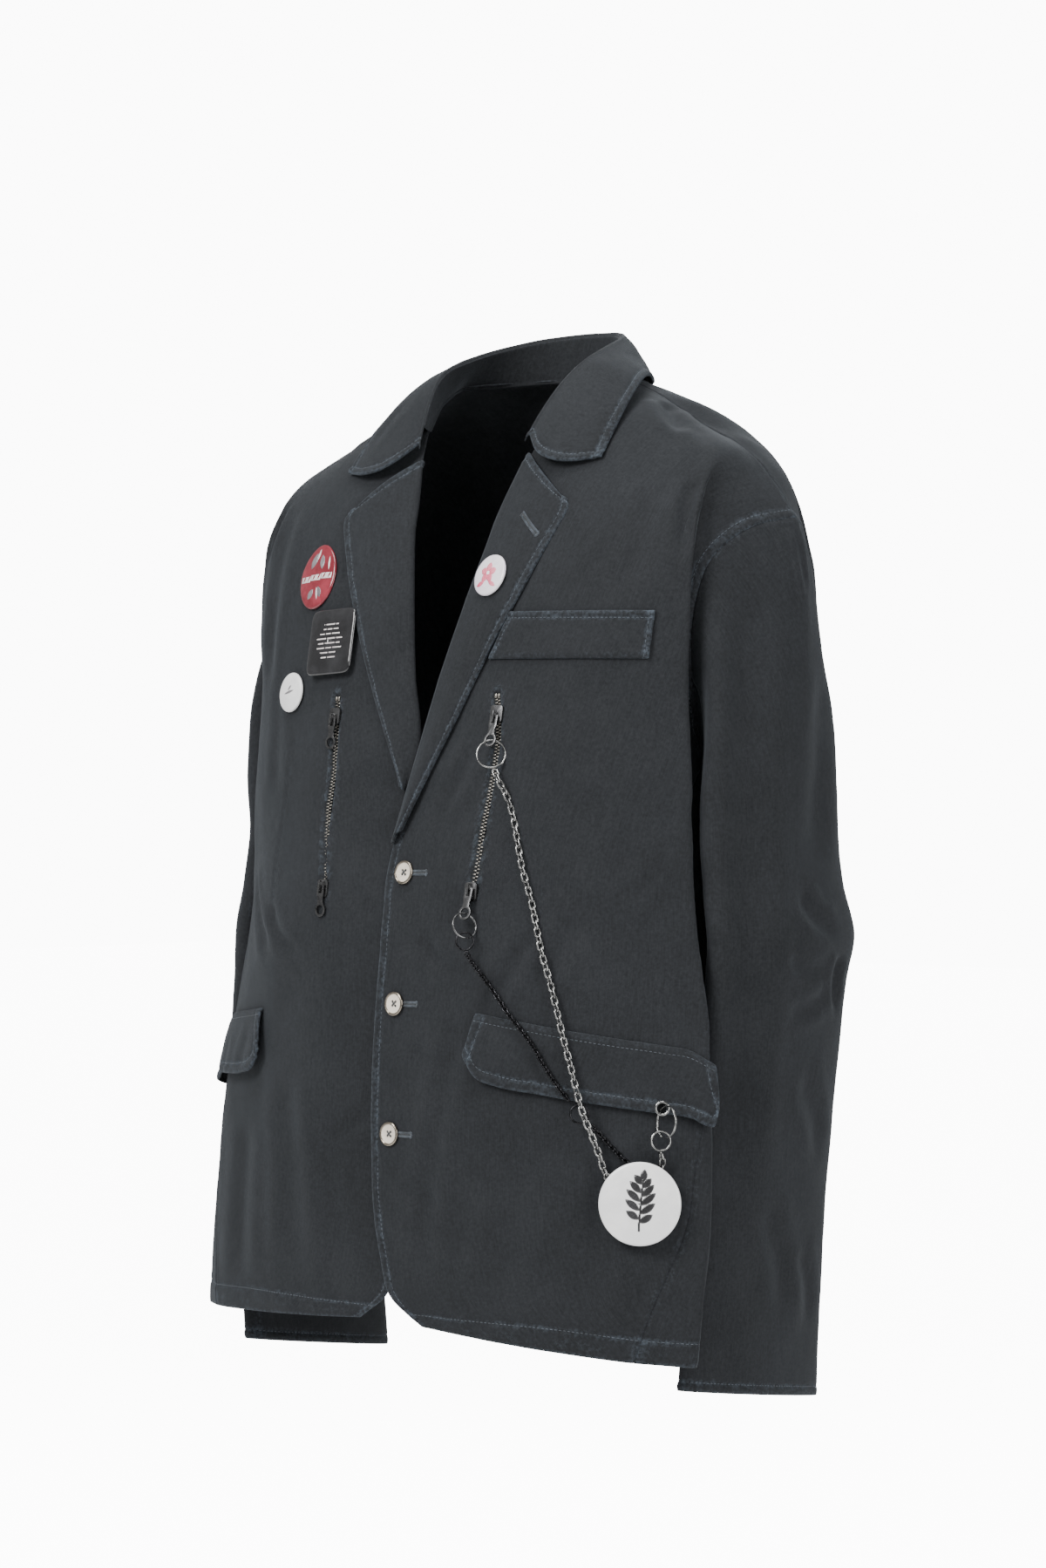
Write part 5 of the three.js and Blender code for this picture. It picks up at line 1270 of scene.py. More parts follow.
# topstitching on the finished surfaces
stitchNames = []


def stitchRows(name, entries):
    paths = []
    for source, edge, distance, *levels in entries:
        path, outward = insetPath(source, edge, distance)
        if levels:
            keep = (path[:, 2] > levels[0]) & (path[:, 2] < levels[1])
            path, outward = path[keep], outward[keep]
        paths.append((path, outward))
    stitchMesh(name, paths)
    stitchNames.append(name)


for word in ("left", "right"):
    front, rear, sleeve = f"shell_front_{word}", f"shell_back_{word}", f"shell_sleeve_top_{word}"
    stitchRows(f"stitches_front_{word}", [
        (front, "first", edgeStitch, -640, breakLevel - 6), (front, "bottom", hemStitch),
        (front, "last", armholeStitch, underarm + 6, 60)])
    stitchRows(f"stitches_back_{word}", [
        (rear, "bottom", hemStitch), (rear, "first", armholeStitch, underarm + 6, 60),
        (f"shell_side_{word}", "bottom", hemStitch)])
    stitchRows(f"stitches_cuff_{word}", [
        (sleeve, "bottom", cuffStitch), (f"shell_sleeve_under_{word}", "bottom", cuffStitch)])
    stitchRows(f"stitches_lapel_{word}", [
        (f"shell_lapel_{word}", "last", 5.3), (f"shell_lapel_{word}", "top", 5.3)])
    stitchRows(f"stitches_flap_{word}", [
        (f"shell_flap_{word}", "bottom", flapStitch), (f"shell_flap_{word}", "first", flapStitch),
        (f"shell_flap_{word}", "last", flapStitch), (f"shell_flap_{word}", "top", 5.5)])
stitchRows("stitches_collar", [
    ("shell_collar_leaf", "bottom", 5.6), ("shell_collar_leaf", "first", 5.6),
    ("shell_collar_leaf", "last", 5.6)])
stitchRows("stitches_welt", [
    ("shell_breast_welt", "first", 3.4), ("shell_breast_welt", "last", 3.4),
    ("shell_breast_welt", "top", 5.0)])


# hard pieces are shaped about the place and axes of their CAD nodes
def nodePoints(name):
    mesh = bpy.data.objects[name].data
    points = np.empty(len(mesh.vertices) * 3)
    mesh.vertices.foreach_get("co", points)
    return points.reshape(-1, 3) / mm


def seatOf(name, tilt=0.0):
    # lowest point of the node along its outward axis, with the axes across, up and out
    points = nodePoints(name)
    centre = (points.min(0) + points.max(0)) / 2
    out = np.linalg.svd(points - points.mean(0), full_matrices=False)[2][2]
    out = out * (-1 if out[1] > 0 else 1)
    across = unit(np.cross([0, 0, 1], out))
    up = np.cross(out, across)
    turn = math.cos(tilt), math.sin(tilt)
    across, up = across * turn[0] + up * turn[1], up * turn[0] - across * turn[1]
    heights = (points - centre) @ out
    return {"base": centre + out * heights.min(), "across": across, "up": up, "out": out}


def placed(seat, local):
    local = np.asarray(local, float)
    return (seat["base"] + local[..., :1] * seat["across"] + local[..., 1:2] * seat["up"]
        + local[..., 2:] * seat["out"])


def latheMesh(name, seat, profile, segments=56, outline=None):
    # profile points are (radius, height); outline scales the radius for each direction
    turns = np.arange(segments) * 2 * np.pi / segments
    scale = np.ones((segments, 2)) if outline is None else np.array([outline(t) for t in turns])
    rings = []
    for radius, height in profile:
        rings.append(np.stack([radius * scale[:, 0] * np.cos(turns),
            radius * scale[:, 1] * np.sin(turns), np.full(segments, height)], -1))
    vertices = placed(seat, np.array(rings)).reshape(-1, 3)
    count = len(profile)
    faces = []
    for i in range(count):
        here, there = i * segments, (i + 1) % count * segments
        for k in range(segments):
            after = (k + 1) % segments
            faces.append((here + k, here + after, there + after, there + k))
    return makeMesh(name, vertices, np.array(faces))


def tubeArrays(path, radius, sides=8, closed=True, start=0):
    path = np.asarray(path, float)
    count = len(path)
    ahead = np.roll(path, -1, 0) - np.roll(path, 1, 0)
    if not closed:
        ahead[0], ahead[-1] = path[1] - path[0], path[-1] - path[-2]
    ahead /= np.maximum(np.linalg.norm(ahead, axis=1, keepdims=True), 1e-9)
    normal = unit(np.cross(ahead[0], [0.3, 0.5, 0.8]))
    rings = []
    for p, t in zip(path, ahead):
        normal = unit(normal - t * np.dot(normal, t))
        other = np.cross(t, normal)
        turns = np.arange(sides) * 2 * np.pi / sides
        circle = np.cos(turns)[:, None] * normal + np.sin(turns)[:, None] * other
        rings.append(p + radius * circle)
    faces = []
    last = count if closed else count - 1
    shift = 0
    if closed:
        gaps = [np.linalg.norm(rings[-1][0] - rings[0][s]) for s in range(sides)]
        shift = int(np.argmin(gaps))
    for i in range(last):
        turn = shift if i == count - 1 else 0
        for k in range(sides):
            a, b = start + i * sides + k, start + i * sides + (k + 1) % sides
            j = (i + 1) % count
            faces.append((a, b, start + j * sides + (k + 1 + turn) % sides,
                start + j * sides + (k + turn) % sides))
    vertices = list(np.concatenate(rings))
    if not closed:
        for end, ring in ((0, 0), (1, count - 1)):
            centre = start + len(vertices)
            vertices.append(path[ring] + (ahead[ring] * radius * (0.5 if end else -0.5)))
            for k in range(sides):
                a, b = start + ring * sides + k, start + ring * sides + (k + 1) % sides
                faces.append((a, b, centre, centre) if end else (b, a, centre, centre))
    return vertices, faces


def facesMesh(name, vertices, faces):
    # some faces are triangles, written with a repeated corner
    mesh = bpy.data.meshes.new(name)
    clean = [f[:3] if f[2] == f[3] else f for f in map(tuple, faces)]
    mesh.from_pydata([tuple(v) for v in np.asarray(vertices) * mm], [],
        [tuple(int(k) for k in f) for f in clean])
    for face in mesh.polygons:
        face.use_smooth = True
    mesh.validate()
    return shown(name, mesh)


def tubesMesh(name, tubes):
    vertices, faces = [], []
    for path, radius, sides, closed in tubes:
        v, f = tubeArrays(path, radius, sides, closed, len(vertices))
        vertices += v
        faces += f
    return facesMesh(name, vertices, faces)


# rings
def ringSeat(name):
    points = nodePoints(name)
    centre = points.mean(0)
    normal = np.linalg.svd(points - centre, full_matrices=False)[2][2]
    down = unit(np.array([0, 0, -1]) + normal * normal[2])
    return centre, normal, down, np.cross(normal, down)


def ringPath(name, radius, turns=1.0, rise=0.0, start=0.0, steps=56, kink=0.0):
    centre, normal, down, sideways = ringSeat(name)
    angles = start + np.linspace(0, 2 * np.pi * turns, int(steps * turns) + 1)
    share = np.linspace(-0.5, 0.5, len(angles))
    grow = radius + kink * np.clip((share - 0.44) / 0.06, 0, 1)
    return (centre + np.cos(angles)[:, None] * down * grow[:, None]
        + np.sin(angles)[:, None] * sideways * grow[:, None]
        + share[:, None] * rise * normal)


rings = {"ring_top_pull": (10.2, 0.62, 1.06, 1.5, "silver", "silver_metal", "left_top_pull"),
    "ring_split_pull": (9.2, 0.5, 1.9, 1.1, "slider", "silver_metal", "left_bottom_pull"),
    "ring_black_upper": (6.1, 0.75, 1.03, 1.5, "black", "black_metal", "left_bottom_pull"),
    "ring_black_lower": (6.4, 0.75, 1.03, 1.5, "black", "black_metal", "jacket"),
    "ring_eyelet": (11, 0.55, 1.85, 1.15, "silver", "silver_metal", "jacket"),
    "ring_side": (6.6, 0.7, 1.03, 1.4, "silver", "silver_metal", "jacket")}
hard = []


def addHard(name, look, slotName, body="jacket", nodes=()):
    hard.append((name, look, slotName, body, nodes))


for name, (radius, wire, turns, rise, look, slotName, body) in rings.items():
    kink = 0.9 if name == "ring_top_pull" else 0
    path = ringPath(name, radius, turns, rise, start=0.6, kink=kink)
    tubesMesh("wire_" + name, [(path, wire, 10, False)])
    addHard("wire_" + name, look, slotName, body, [name])


# chains: links threaded along their routes; x and z on the left front, then the lift
chainRoutes = {
    "chain_silver": [
      (86.5, -264, 6.4), (91.5, -273, 4.4), (97, -287, 4), (103, -306, 4), (109.4, -326.3, 4),
      (116, -347, 4), (122, -367.5, 4.2), (127.7, -385, 4.6), (133.2, -402.9, 5.6),
      (139.5, -423, 7.6), (145.8, -443.7, 9.2), (151.5, -463, 10.6), (157.3, -482.5, 13),
      (162, -496, 13.4), (167, -509, 12), (171.5, -522, 8.6), (176.5, -536, 5.6),
      (184, -547, 4.6), (194, -550, 4.6), (202, -545, 4.4), (207, -536, 4.6), (209.6, -529, 6)],
    "chain_black_upper": [
      (78.5, -393, 9), (83.5, -400, 6), (90, -408, 4.8), (98, -417, 6.4), (107, -427, 8),
      (117, -438, 8.8), (126, -450, 9), (133, -461, 9), (141, -473, 9), (147, -481.5, 9),
      (150.5, -485.5, 9)],
    "chain_black_lower": [
      (165.5, -503, 6.4), (170, -508, 4.6), (176, -515, 3.6), (182, -521, 3.4), (189, -528, 3.4),
      (196, -534, 3.4)]}
chainLooks = {
    "chain_silver": {"from": ("ring_top_pull", 10.2, 14), "to": ("ring_side", 6.6, 0), "width": 5.4,
      "pitch": 5.0, "wire": 0.74, "twist": 38, "look": "silver",
      "slot": "silver_metal"},
    "chain_black_upper": {"from": ("ring_black_upper", 6.1, 8), "to": None, "width": 4.4,
        "pitch": 3.1, "wire": 0.7, "twist": 42, "look": "black",
        "slot": "black_metal"},
    "chain_black_lower": {"from": None, "to": None, "width": 4.4, "pitch": 3.1, "wire": 0.7,
        "twist": 42, "look": "black", "slot": "black_metal"}}


def underRing(ring):
    name, radius, roll = ring
    centre, _, down, sideways = ringSeat(name)
    if sideways[0] < 0:
        sideways = -sideways
    turn = math.radians(roll)
    down = unit(down * math.cos(turn) + sideways * math.sin(turn))
    return centre + down * (radius + 0.8 + 1.2)


def chainPath(name):
    points = [point + normal * lift for (x, z, lift) in chainRoutes[name]
        for point, normal in [onFront(1, x, z)]]
    look = chainLooks[name]
    if look["from"]:
        points.insert(0, underRing(look["from"]))
    if look["to"]:
        points.append(underRing(look["to"]))
    points = [tuple(map(float, p)) for p in points]
    stops = np.linspace(0, len(points) - 1, 10 * len(points))
    return np.array([alongPoints(points, s) for s in stops])


def linkPath(length, width, steps=18):
    # stadium outline in the plane of x and y
    half = max(length / 2 - width / 2, 0.01)
    turns = np.linspace(0, 2 * np.pi, steps, endpoint=False) + np.pi / steps
    return np.stack([np.cos(turns) * width / 2 + half * np.sign(np.cos(turns)),
        np.sin(turns) * width / 2, np.zeros(steps)], -1)


for name, look in chainLooks.items():
    path = chainPath(name)
    steps = np.linalg.norm(np.diff(path, axis=0), axis=1)
    along = np.concatenate([[0], np.cumsum(steps)])
    link = linkPath(look["pitch"] + 2.1 * look["wire"], look["width"] - 2 * look["wire"])
    tubes = []
    count = max(int(along[-1] // look["pitch"]), 1)
    pitch = along[-1] / count
    for k in range(count):
        at = (k + 0.5) * pitch
        centre = np.array([np.interp(at, along, path[:, c]) for c in range(3)])
        ahead = unit([np.interp(at + 1, along, path[:, c]) - np.interp(at - 1, along, path[:, c])
            for c in range(3)])
        outward = unit(np.cross(ahead, np.cross([0.35, -0.93, 0], ahead)))
        across = np.cross(outward, ahead)
        turn = math.radians(look["twist"] * (1 if k % 2 else -1) + 7 * math.sin(k * 1.7))
        flat = across * math.cos(turn) + outward * math.sin(turn)
        tubes.append((centre + link[:, :1] * ahead + link[:, 1:2] * flat, look["wire"], 7, True))
    tubesMesh("links_" + name, tubes)
    addHard("links_" + name, look["look"], look["slot"], nodes=[name])

# buttons: dished face with four sunk holes, metal rim and crossed thread
buttonLook = {"radius": 8.8, "hole": 1.5, "holeRadius": 0.85, "thick": 2.8}


def makeButton(index):
    seat = seatOf(f"button_{index}")
    look = buttonLook
    radii = np.concatenate([np.arange(0.25, 4.0, 0.3), np.linspace(4.2, 7.0, 6)])
    turns = np.arange(72) * 2 * np.pi / 72
    x, y = radii[:, None] * np.cos(turns), radii[:, None] * np.sin(turns)
    height = 1.55 + 0.55 * (radii[:, None] / 7.0) ** 2 + 0 * x
    # the holes' floors are painted dark: painted shade inside the holes, standing also for the dark
    # cloth seen through a real hole
    dark = np.zeros_like(x)
    for sx, sy in ((1, 1), (-1, 1), (-1, -1), (1, -1)):
        gap = np.hypot(x - sx * look["hole"], y - sy * look["hole"])
        sunk = np.clip((look["holeRadius"] + 0.15 - gap) / 0.3, 0, 1)
        height = height - 1.2 * sunk
        dark = np.maximum(dark, sunk)
    rings = np.stack([x, y, height], -1)
    r = look["radius"]
    back = np.array([[(r - 1.0) * math.cos(t), (r - 1.0) * math.sin(t), 0.1] for t in turns])
    grid = np.concatenate([rings, back[None]])
    vertices = np.concatenate([placed(seat, grid).reshape(-1, 3),
        placed(seat, [[0, 0, 1.55]]), placed(seat, [[0, 0, 0.1]])])
    faces = []
    count = len(grid)
    for i in range(count - 1):
        for k in range(72):
            a, b = i * 72 + k, i * 72 + (k + 1) % 72
            faces.append((a, a + 72, b + 72, b))
    top, low = count * 72, count * 72 + 1
    for k in range(72):
        faces.append((k, (k + 1) % 72, top, top))
        a, b = (count - 1) * 72 + k, (count - 1) * 72 + (k + 1) % 72
        faces.append((b, a, low, low))
    piece = facesMesh(f"button_face_{index}", vertices, faces)
    # the holes' painted shade is written into the fade attribute
    fade = piece.data.attributes.new("fade", "FLOAT", "POINT")
    values = np.concatenate([dark.ravel(), np.zeros(72 + 2)])
    fade.data.foreach_set("value", values[:len(piece.data.vertices)].astype(np.float32))
    latheMesh(f"button_rim_{index}", seat, [
        (r - 1.9, 1.9), (r - 1.7, 2.55), (r - 1.1, 2.8), (r - 0.4, 2.6), (r, 1.9), (r - 0.1, 0.9),
        (r - 0.8, 0.15), (r - 1.6, 0.1)], 64)
    h, low, high = look["hole"], 1.0, 1.95
    tubes = []
    for a, b in (((-h, -h), (h, h)), ((-h, h), (h, -h))):
        for shift in (-0.28, 0.28):
            bend = [(a[0] + shift, a[1] - shift, low),
                (a[0] * 0.8 + shift, a[1] * 0.8 - shift, high - 0.1),
                (shift, -shift, high + (0.18 if a[1] > 0 else 0)),
                (b[0] * 0.8 + shift, b[1] * 0.8 - shift, high - 0.1),
                (b[0] + shift, b[1] - shift, low)]
            tubes.append((placed(seat, bend), 0.26, 6, False))
    tubesMesh(f"button_thread_{index}", tubes)
    addHard(f"button_face_{index}", "button", "pale_button", nodes=[f"button_{index}"])
    addHard(f"button_rim_{index}", "rim", "pale_button")
    addHard(f"button_thread_{index}", "buttonThread", "charcoal_twill")


for index in (1, 2, 3):
    makeButton(index)


# buttonholes: the slit is a dark strip of painted shade, ringed with close stitches, with an eye at
# one end
def buttonhole(name, source, a, b, stitch=1.5, pitch=0.75, slit=0.5):
    made = pieces[source]
    a, b = np.array(a, float), np.array(b, float)
    line = unit(np.append(b - a, 0))[:2]
    cross = np.array([-line[1], line[0]])
    length = np.linalg.norm(b - a)

    def put(offset, height):
        place = a + line * offset[0] + cross * offset[1]
        point, normal = onPanel(made["outer"], made["normals"], place[0], place[1])
        return point + normal * height
    tubes = []
    for side in (1, -1):
        for at in np.arange(0, length, pitch):
            inner, outer = slit * side, (slit + stitch) * side
            jitter = 0.12 * math.sin(at * 9.1 + side)
            tubes.append((np.array([put((at, inner), 0.1), put((at, (inner + outer) / 2), 0.5),
                put((at + jitter, outer), 0.0)]), 0.33, 5, False))
    for turn in np.linspace(-1.5, 1.5, 9):
        inner, outer = slit, slit + stitch * 1.1
        tubes.append((np.array([put((length + r * math.cos(turn), r * math.sin(turn) * 1.2), h)
              for r, h in ((inner, 0.1), ((inner + outer) / 2, 0.5), (outer, 0.0))]),
            0.33, 5, False))
    tubes.append((np.array([put((-0.3, y), 0.4) for y in (-2.0, -0.7, 0.7, 2.0)]), 0.4, 6, False))
    tubesMesh(name, tubes)
    # the slit is painted shade: a dark strip laid on the uncut cloth where the opening would be
    tubesMesh(name + "_slit", [(np.array([put((at, 0), 0.02) for at in np.linspace(0, length, 8)]),
        slit * 0.8, 6, False)])
    addHard(name, "thread", "charcoal_twill")
    # the dark zip tape material paints the slit's shade
    addHard(name + "_slit", "tape", "charcoal_twill")


for index, level in enumerate((-329, -423, -516), 1):
    buttonhole(f"buttonhole_{index}", "shell_front_left", (1, level), (20.5, level + 0.4))
buttonhole("buttonhole_lapel", "shell_lapel_left", (70, -71), (87, -86))


# zips: tape on the slit's floor, two rows of teeth, stops at both ends
zipTeeth = {"pitch": 2.5, "length": 2.7, "width": 1.0, "height": 1.5, "offset": 1.25}


def boxArrays(centre, axes, size, start, bevel=0.28):
    # box with chamfered edges, written as an octagonal prism
    half = np.array(size) / 2
    outline = [(half[0] - bevel, -half[1]), (half[0], -half[1] + bevel), (half[0], half[1] - bevel),
        (half[0] - bevel, half[1]), (-half[0] + bevel, half[1]), (-half[0], half[1] - bevel),
        (-half[0], -half[1] + bevel), (-half[0] + bevel, -half[1])]
    levels = ((-half[2], 1.0), (half[2] - bevel, 1.0), (half[2], 0.72))
    vertices = [centre + axes[0] * x * s + axes[1] * y * s + axes[2] * z
        for z, s in levels for x, y in outline]
    faces = []
    for level in range(2):
        for k in range(8):
            a, b = start + level * 8 + k, start + level * 8 + (k + 1) % 8
            faces.append((a, b, b + 8, a + 8))
    for base, order in ((start + 16, (0, 1, 2, 3, 4, 5, 6, 7)), (start, (7, 6, 5, 4, 3, 2, 1, 0))):
        k = [base + o for o in order]
        faces += [(k[0], k[1], k[2], k[3]), (k[0], k[3], k[4], k[7]), (k[4], k[5], k[6], k[7])]
    return vertices, faces


def zipFrame(side, share):
    x, z = zipPlace(side, share)
    point, normal = onFront(side, x, z)
    x2, z2 = zipPlace(side, share + 0.01)
    ahead = unit(onFront(side, x2, z2)[0] - point)
    across = unit(np.cross(ahead, normal))
    if side < 0:
        flip = np.array([-1, 1, 1])
        return point * flip, np.cross(ahead * flip, normal * flip), ahead * flip, normal * flip
    return point, across, ahead, normal


def makeZip(side):
    word = "left" if side > 0 else "right"
    stops = np.linspace(-0.01, 1.01, 40)
    frames = [zipFrame(side, s) for s in stops]
    rows = np.array([[p + across * w + out * (-1.25 + 0.12 * math.sin(9 * s + w))
        for w in (-3.6, -2.2, -0.8, 0.8, 2.2, 3.6)]
        for s, (p, across, _, out) in zip(stops, frames)])
    if np.dot(np.cross(rows[0, 1] - rows[0, 0], rows[1, 0] - rows[0, 0]), frames[0][3]) < 0:
        rows = rows[:, ::-1]
    far = edgeDistances(rows)
    normals = gridNormals(rows)
    wallMesh(f"zip_tape_{word}", rows, rows - normals * 0.5, np.stack([far["u"], far["v"]], -1),
        np.zeros(rows.shape[:2]))
    addHard(f"zip_tape_{word}", "tape", "charcoal_twill")
    length = np.linalg.norm(np.diff(np.array([f[0] for f in frames]), axis=0), axis=1).sum()
    look = zipTeeth
    count = int(length / look["pitch"])
    vertices, faces = [], []
    for k in range(2 * count):
        share = (k + 0.5) / (2 * count)
        p, across, ahead, out = zipFrame(side, share)
        row = 1 if k % 2 else -1
        centre = p + across * row * look["offset"] + out * 0.06 * math.sin(k * 2.3)
        size = (look["length"], look["width"], look["height"])
        v, f = boxArrays(centre, (across, ahead, out), size, len(vertices))
        vertices += v
        faces += f
    for share, longer in ((-0.008, 2.6), (1.006, 3.4)):
        p, across, ahead, out = zipFrame(side, share)
        for row in (-1, 1):
            v, f = boxArrays(p + across * row * 1.35 + out * 0.25, (across, ahead, out),
                (2.2, longer, 2.2), len(vertices), 0.45)
            vertices += v
            faces += f
    facesMesh(f"zip_teeth_{word}", vertices, faces)
    addHard(f"zip_teeth_{word}", "zip", "antique_metal", nodes=[f"zip_{word}"])


for side in (1, -1):
    makeZip(side)


# sliders and pull tabs: the frame's own shapes with softened edges
def softened(name, source, width=0.32):
    piece = shown(name, bpy.data.objects[source].data.copy())
    work = bmesh.new()
    work.from_mesh(piece.data)
    bmesh.ops.remove_doubles(work, verts=work.verts, dist=0.00001)
    bmesh.ops.dissolve_limit(work, angle_limit=0.02, verts=work.verts, edges=work.edges)
    sharp = [e for e in work.edges if len(e.link_faces) == 2 and e.calc_face_angle(0) > 0.6]
    bmesh.ops.bevel(work, geom=sharp, offset=width * mm, segments=2, affect="EDGES", profile=0.6,
        clamp_overlap=True)
    bmesh.ops.triangulate(work, faces=[f for f in work.faces if len(f.verts) > 4])
    work.to_mesh(piece.data)
    work.free()
    piece.data.materials.clear()
    for face in piece.data.polygons:
        face.use_smooth = True
    piece.data.set_sharp_from_angle(angle=0.6)
    return piece


pulls = {"left_top": ("slider", "left_top_pull"), "left_bottom": ("slider", "left_bottom_pull"),
    "right_top": ("darkSlider", "right_top_pull"),
    "right_bottom": ("darkSlider", "right_bottom_pull")}
for name, (look, body) in pulls.items():
    softened(f"slider_body_{name}", f"zip_slider_{name}")
    softened(f"pull_tab_{name}", f"zip_pull_{name}", 0.24)
    addHard(f"slider_body_{name}", look, "antique_metal", nodes=[f"zip_slider_{name}"])
    addHard(f"pull_tab_{name}", look, "antique_metal", body, [f"zip_pull_{name}"])

# eyelet with a rolled rim
seat = seatOf("eyelet")
latheMesh("eyelet_rim", seat, [
    (3.5, 0.0), (3.5, 2.0), (3.75, 2.55), (4.4, 2.85), (5.0, 2.7), (5.35, 2.3), (5.3, 1.95),
    (4.9, 1.85), (4.2, 1.8), (4.1, 0.0)], 48)
addHard("eyelet_rim", "silver", "silver_metal", nodes=["eyelet"])


# badges: domed faces over a rolled metal edge, with plain motifs of their own
def domeHeight(shape, x, y):
    share = (np.asarray(x) / shape["width"]) ** 2 + (np.asarray(y) / shape["height"]) ** 2
    return shape["rim"] + shape["dome"] * (1 - np.clip(share, 0, 1))


def makeBadge(node, shape, look, slotName, tilt=0.0, outline=None):
    seat = seatOf(node, tilt)
    w = shape["width"]
    ratio = shape["height"] / w
    curve = outline or (lambda t: (1.0, ratio))
    face = [(w * s, float(domeHeight(shape, w * s, 0))) for s in
        (0.02, 0.15, 0.3, 0.45, 0.6, 0.75, 0.87, 0.94)]
    rim = shape["rim"]
    rolled = [(w * 0.975, rim - 0.15), (w * 0.995, rim - 0.8), (w, rim - 1.5), (w * 0.97, 0.3),
        (w * 0.9, 0.0), (w * 0.02, 0.0)]
    latheMesh("badge_body_" + node, seat, face + rolled, 84, curve)
    addHard("badge_body_" + node, look, slotName, nodes=[node])
    return seat


def motif(name, seat, shape, outlines, look, slotName, lift=0.1):
    # thin raised patches; each outline is star-shaped about its own middle
    vertices, faces = [], []
    for outline in outlines:
        outline = np.array(outline, float)
        middle = outline.mean(0)
        start = len(vertices)
        count = len(outline)
        for share in (0.08, 0.4, 0.7, 1.0):
            ring = middle + (outline - middle) * share
            heights = domeHeight(shape, ring[:, 0], ring[:, 1]) + lift
            vertices += list(np.column_stack([ring, heights]))
        ring = middle + (outline - middle) * 1.0
        vertices += list(np.column_stack([ring, domeHeight(shape, ring[:, 0], ring[:, 1]) - 0.15]))
        vertices.append(np.append(middle, domeHeight(shape, *middle) + lift))
        centre = len(vertices) - 1
        for r in range(4):
            for k in range(count):
                a, b = start + r * count + k, start + r * count + (k + 1) % count
                faces.append((a, a + count, b + count, b))
        for k in range(count):
            faces.append((start + k, start + (k + 1) % count, centre, centre))
    facesMesh(name, placed(seat, np.array(vertices)), faces)
    addHard(name, look, slotName)


def leafShape(base, angle, length, width, steps=9):
    turn = math.radians(angle)
    points = []
    for s in np.linspace(0, 1, steps):
        points.append((s * length, width / 2 * math.sin(math.pi * s) ** 0.8))
    for s in np.linspace(1, 0, steps)[1:-1]:
        points.append((s * length, -width / 2 * math.sin(math.pi * s) ** 0.8))
    c, n = math.cos(turn), math.sin(turn)
    return [(base[0] + x * c - y * n, base[1] + x * n + y * c) for x, y in points]


def barShape(x, y, width, height):
    return [(x, y), (x + width / 2, y), (x + width, y), (x + width, y + height),
        (x + width / 2, y + height), (x, y + height)]


# large badge: a black leafy sprig on white
shape = {"width": 29, "height": 29, "rim": 3.6, "dome": 2.2}
seat = makeBadge("badge_large", shape, "white", "white_badge")
sprig = [barShape(-0.7 + 0.5 * k, -19 + 6 * k, 1.5, 6.4) for k in range(6)]
for k, (y, size) in enumerate(((-13, 11), (-7, 13), (-1, 13.5), (5, 12), (11, 9))):
    x = -0.2 + 0.5 * (y + 19) / 6
    sprig.append(leafShape((x, y), 32 + 4 * k, size, 5.2))
    sprig.append(leafShape((x, y + 2.4), 148 - 4 * k, size, 5.0))
sprig.append(leafShape((2.6, 15), 84, 9, 5))
motif("badge_sprig", seat, shape, sprig, "ink", "white_badge")

# lapel badge: a five-petalled flower with two leaves on lilac
shape = {"width": 15.8, "height": 15.8, "rim": 2.3, "dome": 1.4}
seat = makeBadge("badge_lapel", shape, "lilac", "pale_pink_badge")
motif("badge_petals", seat, shape, [leafShape((0.8 * math.cos(t), 1 + 0.8 * math.sin(t)),
        math.degrees(t), 7.4, 5.6)
      for t in np.radians([90, 162, 234, 306, 18])], "pink",
    "pale_pink_badge")
motif("badge_flower_heart", seat, shape, [[(1.5 * math.cos(t), 1 + 1.5 * math.sin(t))
      for t in np.linspace(0, 2 * math.pi, 14)[:-1]]], "white",
    "pale_pink_badge", 0.28)
motif("badge_flower_leaves", seat, shape, [leafShape((-2, -5.5), 205, 8.5, 3.4),
      leafShape((2.4, -5.6), -24, 8.2, 3.2)], "pink",
    "pale_pink_badge", 0.12)

# small badge: white with a thin grey ring and a short stroke
shape = {"width": 15, "height": 15, "rim": 2.3, "dome": 1.3}
seat = makeBadge("badge_small", shape, "white", "white_badge")
motif("badge_small_stroke", seat, shape, [leafShape((-6, -1.5), 14, 12.5, 1.9),
    leafShape((-1.5, 1.2), 48, 5.5, 1.5)], "grey", "white_badge")


# tall oval badge: dark red with a pale band, short strokes over it and grey patches
def lobedOutline(turn):
    narrow = 1 - 0.17 * max(0, math.sin(turn)) ** 2
    return narrow, 25.5 / 19


shape = {"width": 19, "height": 25.5, "rim": 2.2, "dome": 1.6}
seat = makeBadge("badge_lobed", shape, "red", "dark_red_badge", 0.06, lobedOutline)
motif("badge_band", seat, shape, [barShape(-16.5 + 11 * k, -4.5 + 0.9 * k, 10.6, 4.6)
    for k in range(3)], "band", "dark_red_badge", 0.1)
motif("badge_strokes", seat, shape, [leafShape((-14 + 5.4 * k, -4 + 0.4 * k), 62, 5, 1.3)
    for k in range(6)], "red", "dark_red_badge", 0.22)
motif("badge_patches", seat, shape, [leafShape((-7, 6), 72, 13, 6), leafShape((5, 5), 100, 12, 4.6),
      leafShape((-6, -18), 58, 9, 5), leafShape((7, -17), 110, 9, 4.4)],
    "grey", "dark_red_badge", 0.1)
motif("badge_streaks", seat, shape, [leafShape((-1.5, 13), 84, 8.5, 1.7),
      leafShape((2.4, -9), -80, 10, 1.6),
      leafShape((12.2, 4), 98, 11, 1.5)], "band", "dark_red_badge",
    0.14)


# square badge: glossy black plate with plain ruled bars
def plateOutline(turn):
    x, y = math.cos(turn), math.sin(turn)
    size = (abs(x) ** 9 + abs(y * 23 / 25) ** 9) ** (-1 / 9)
    return size, size


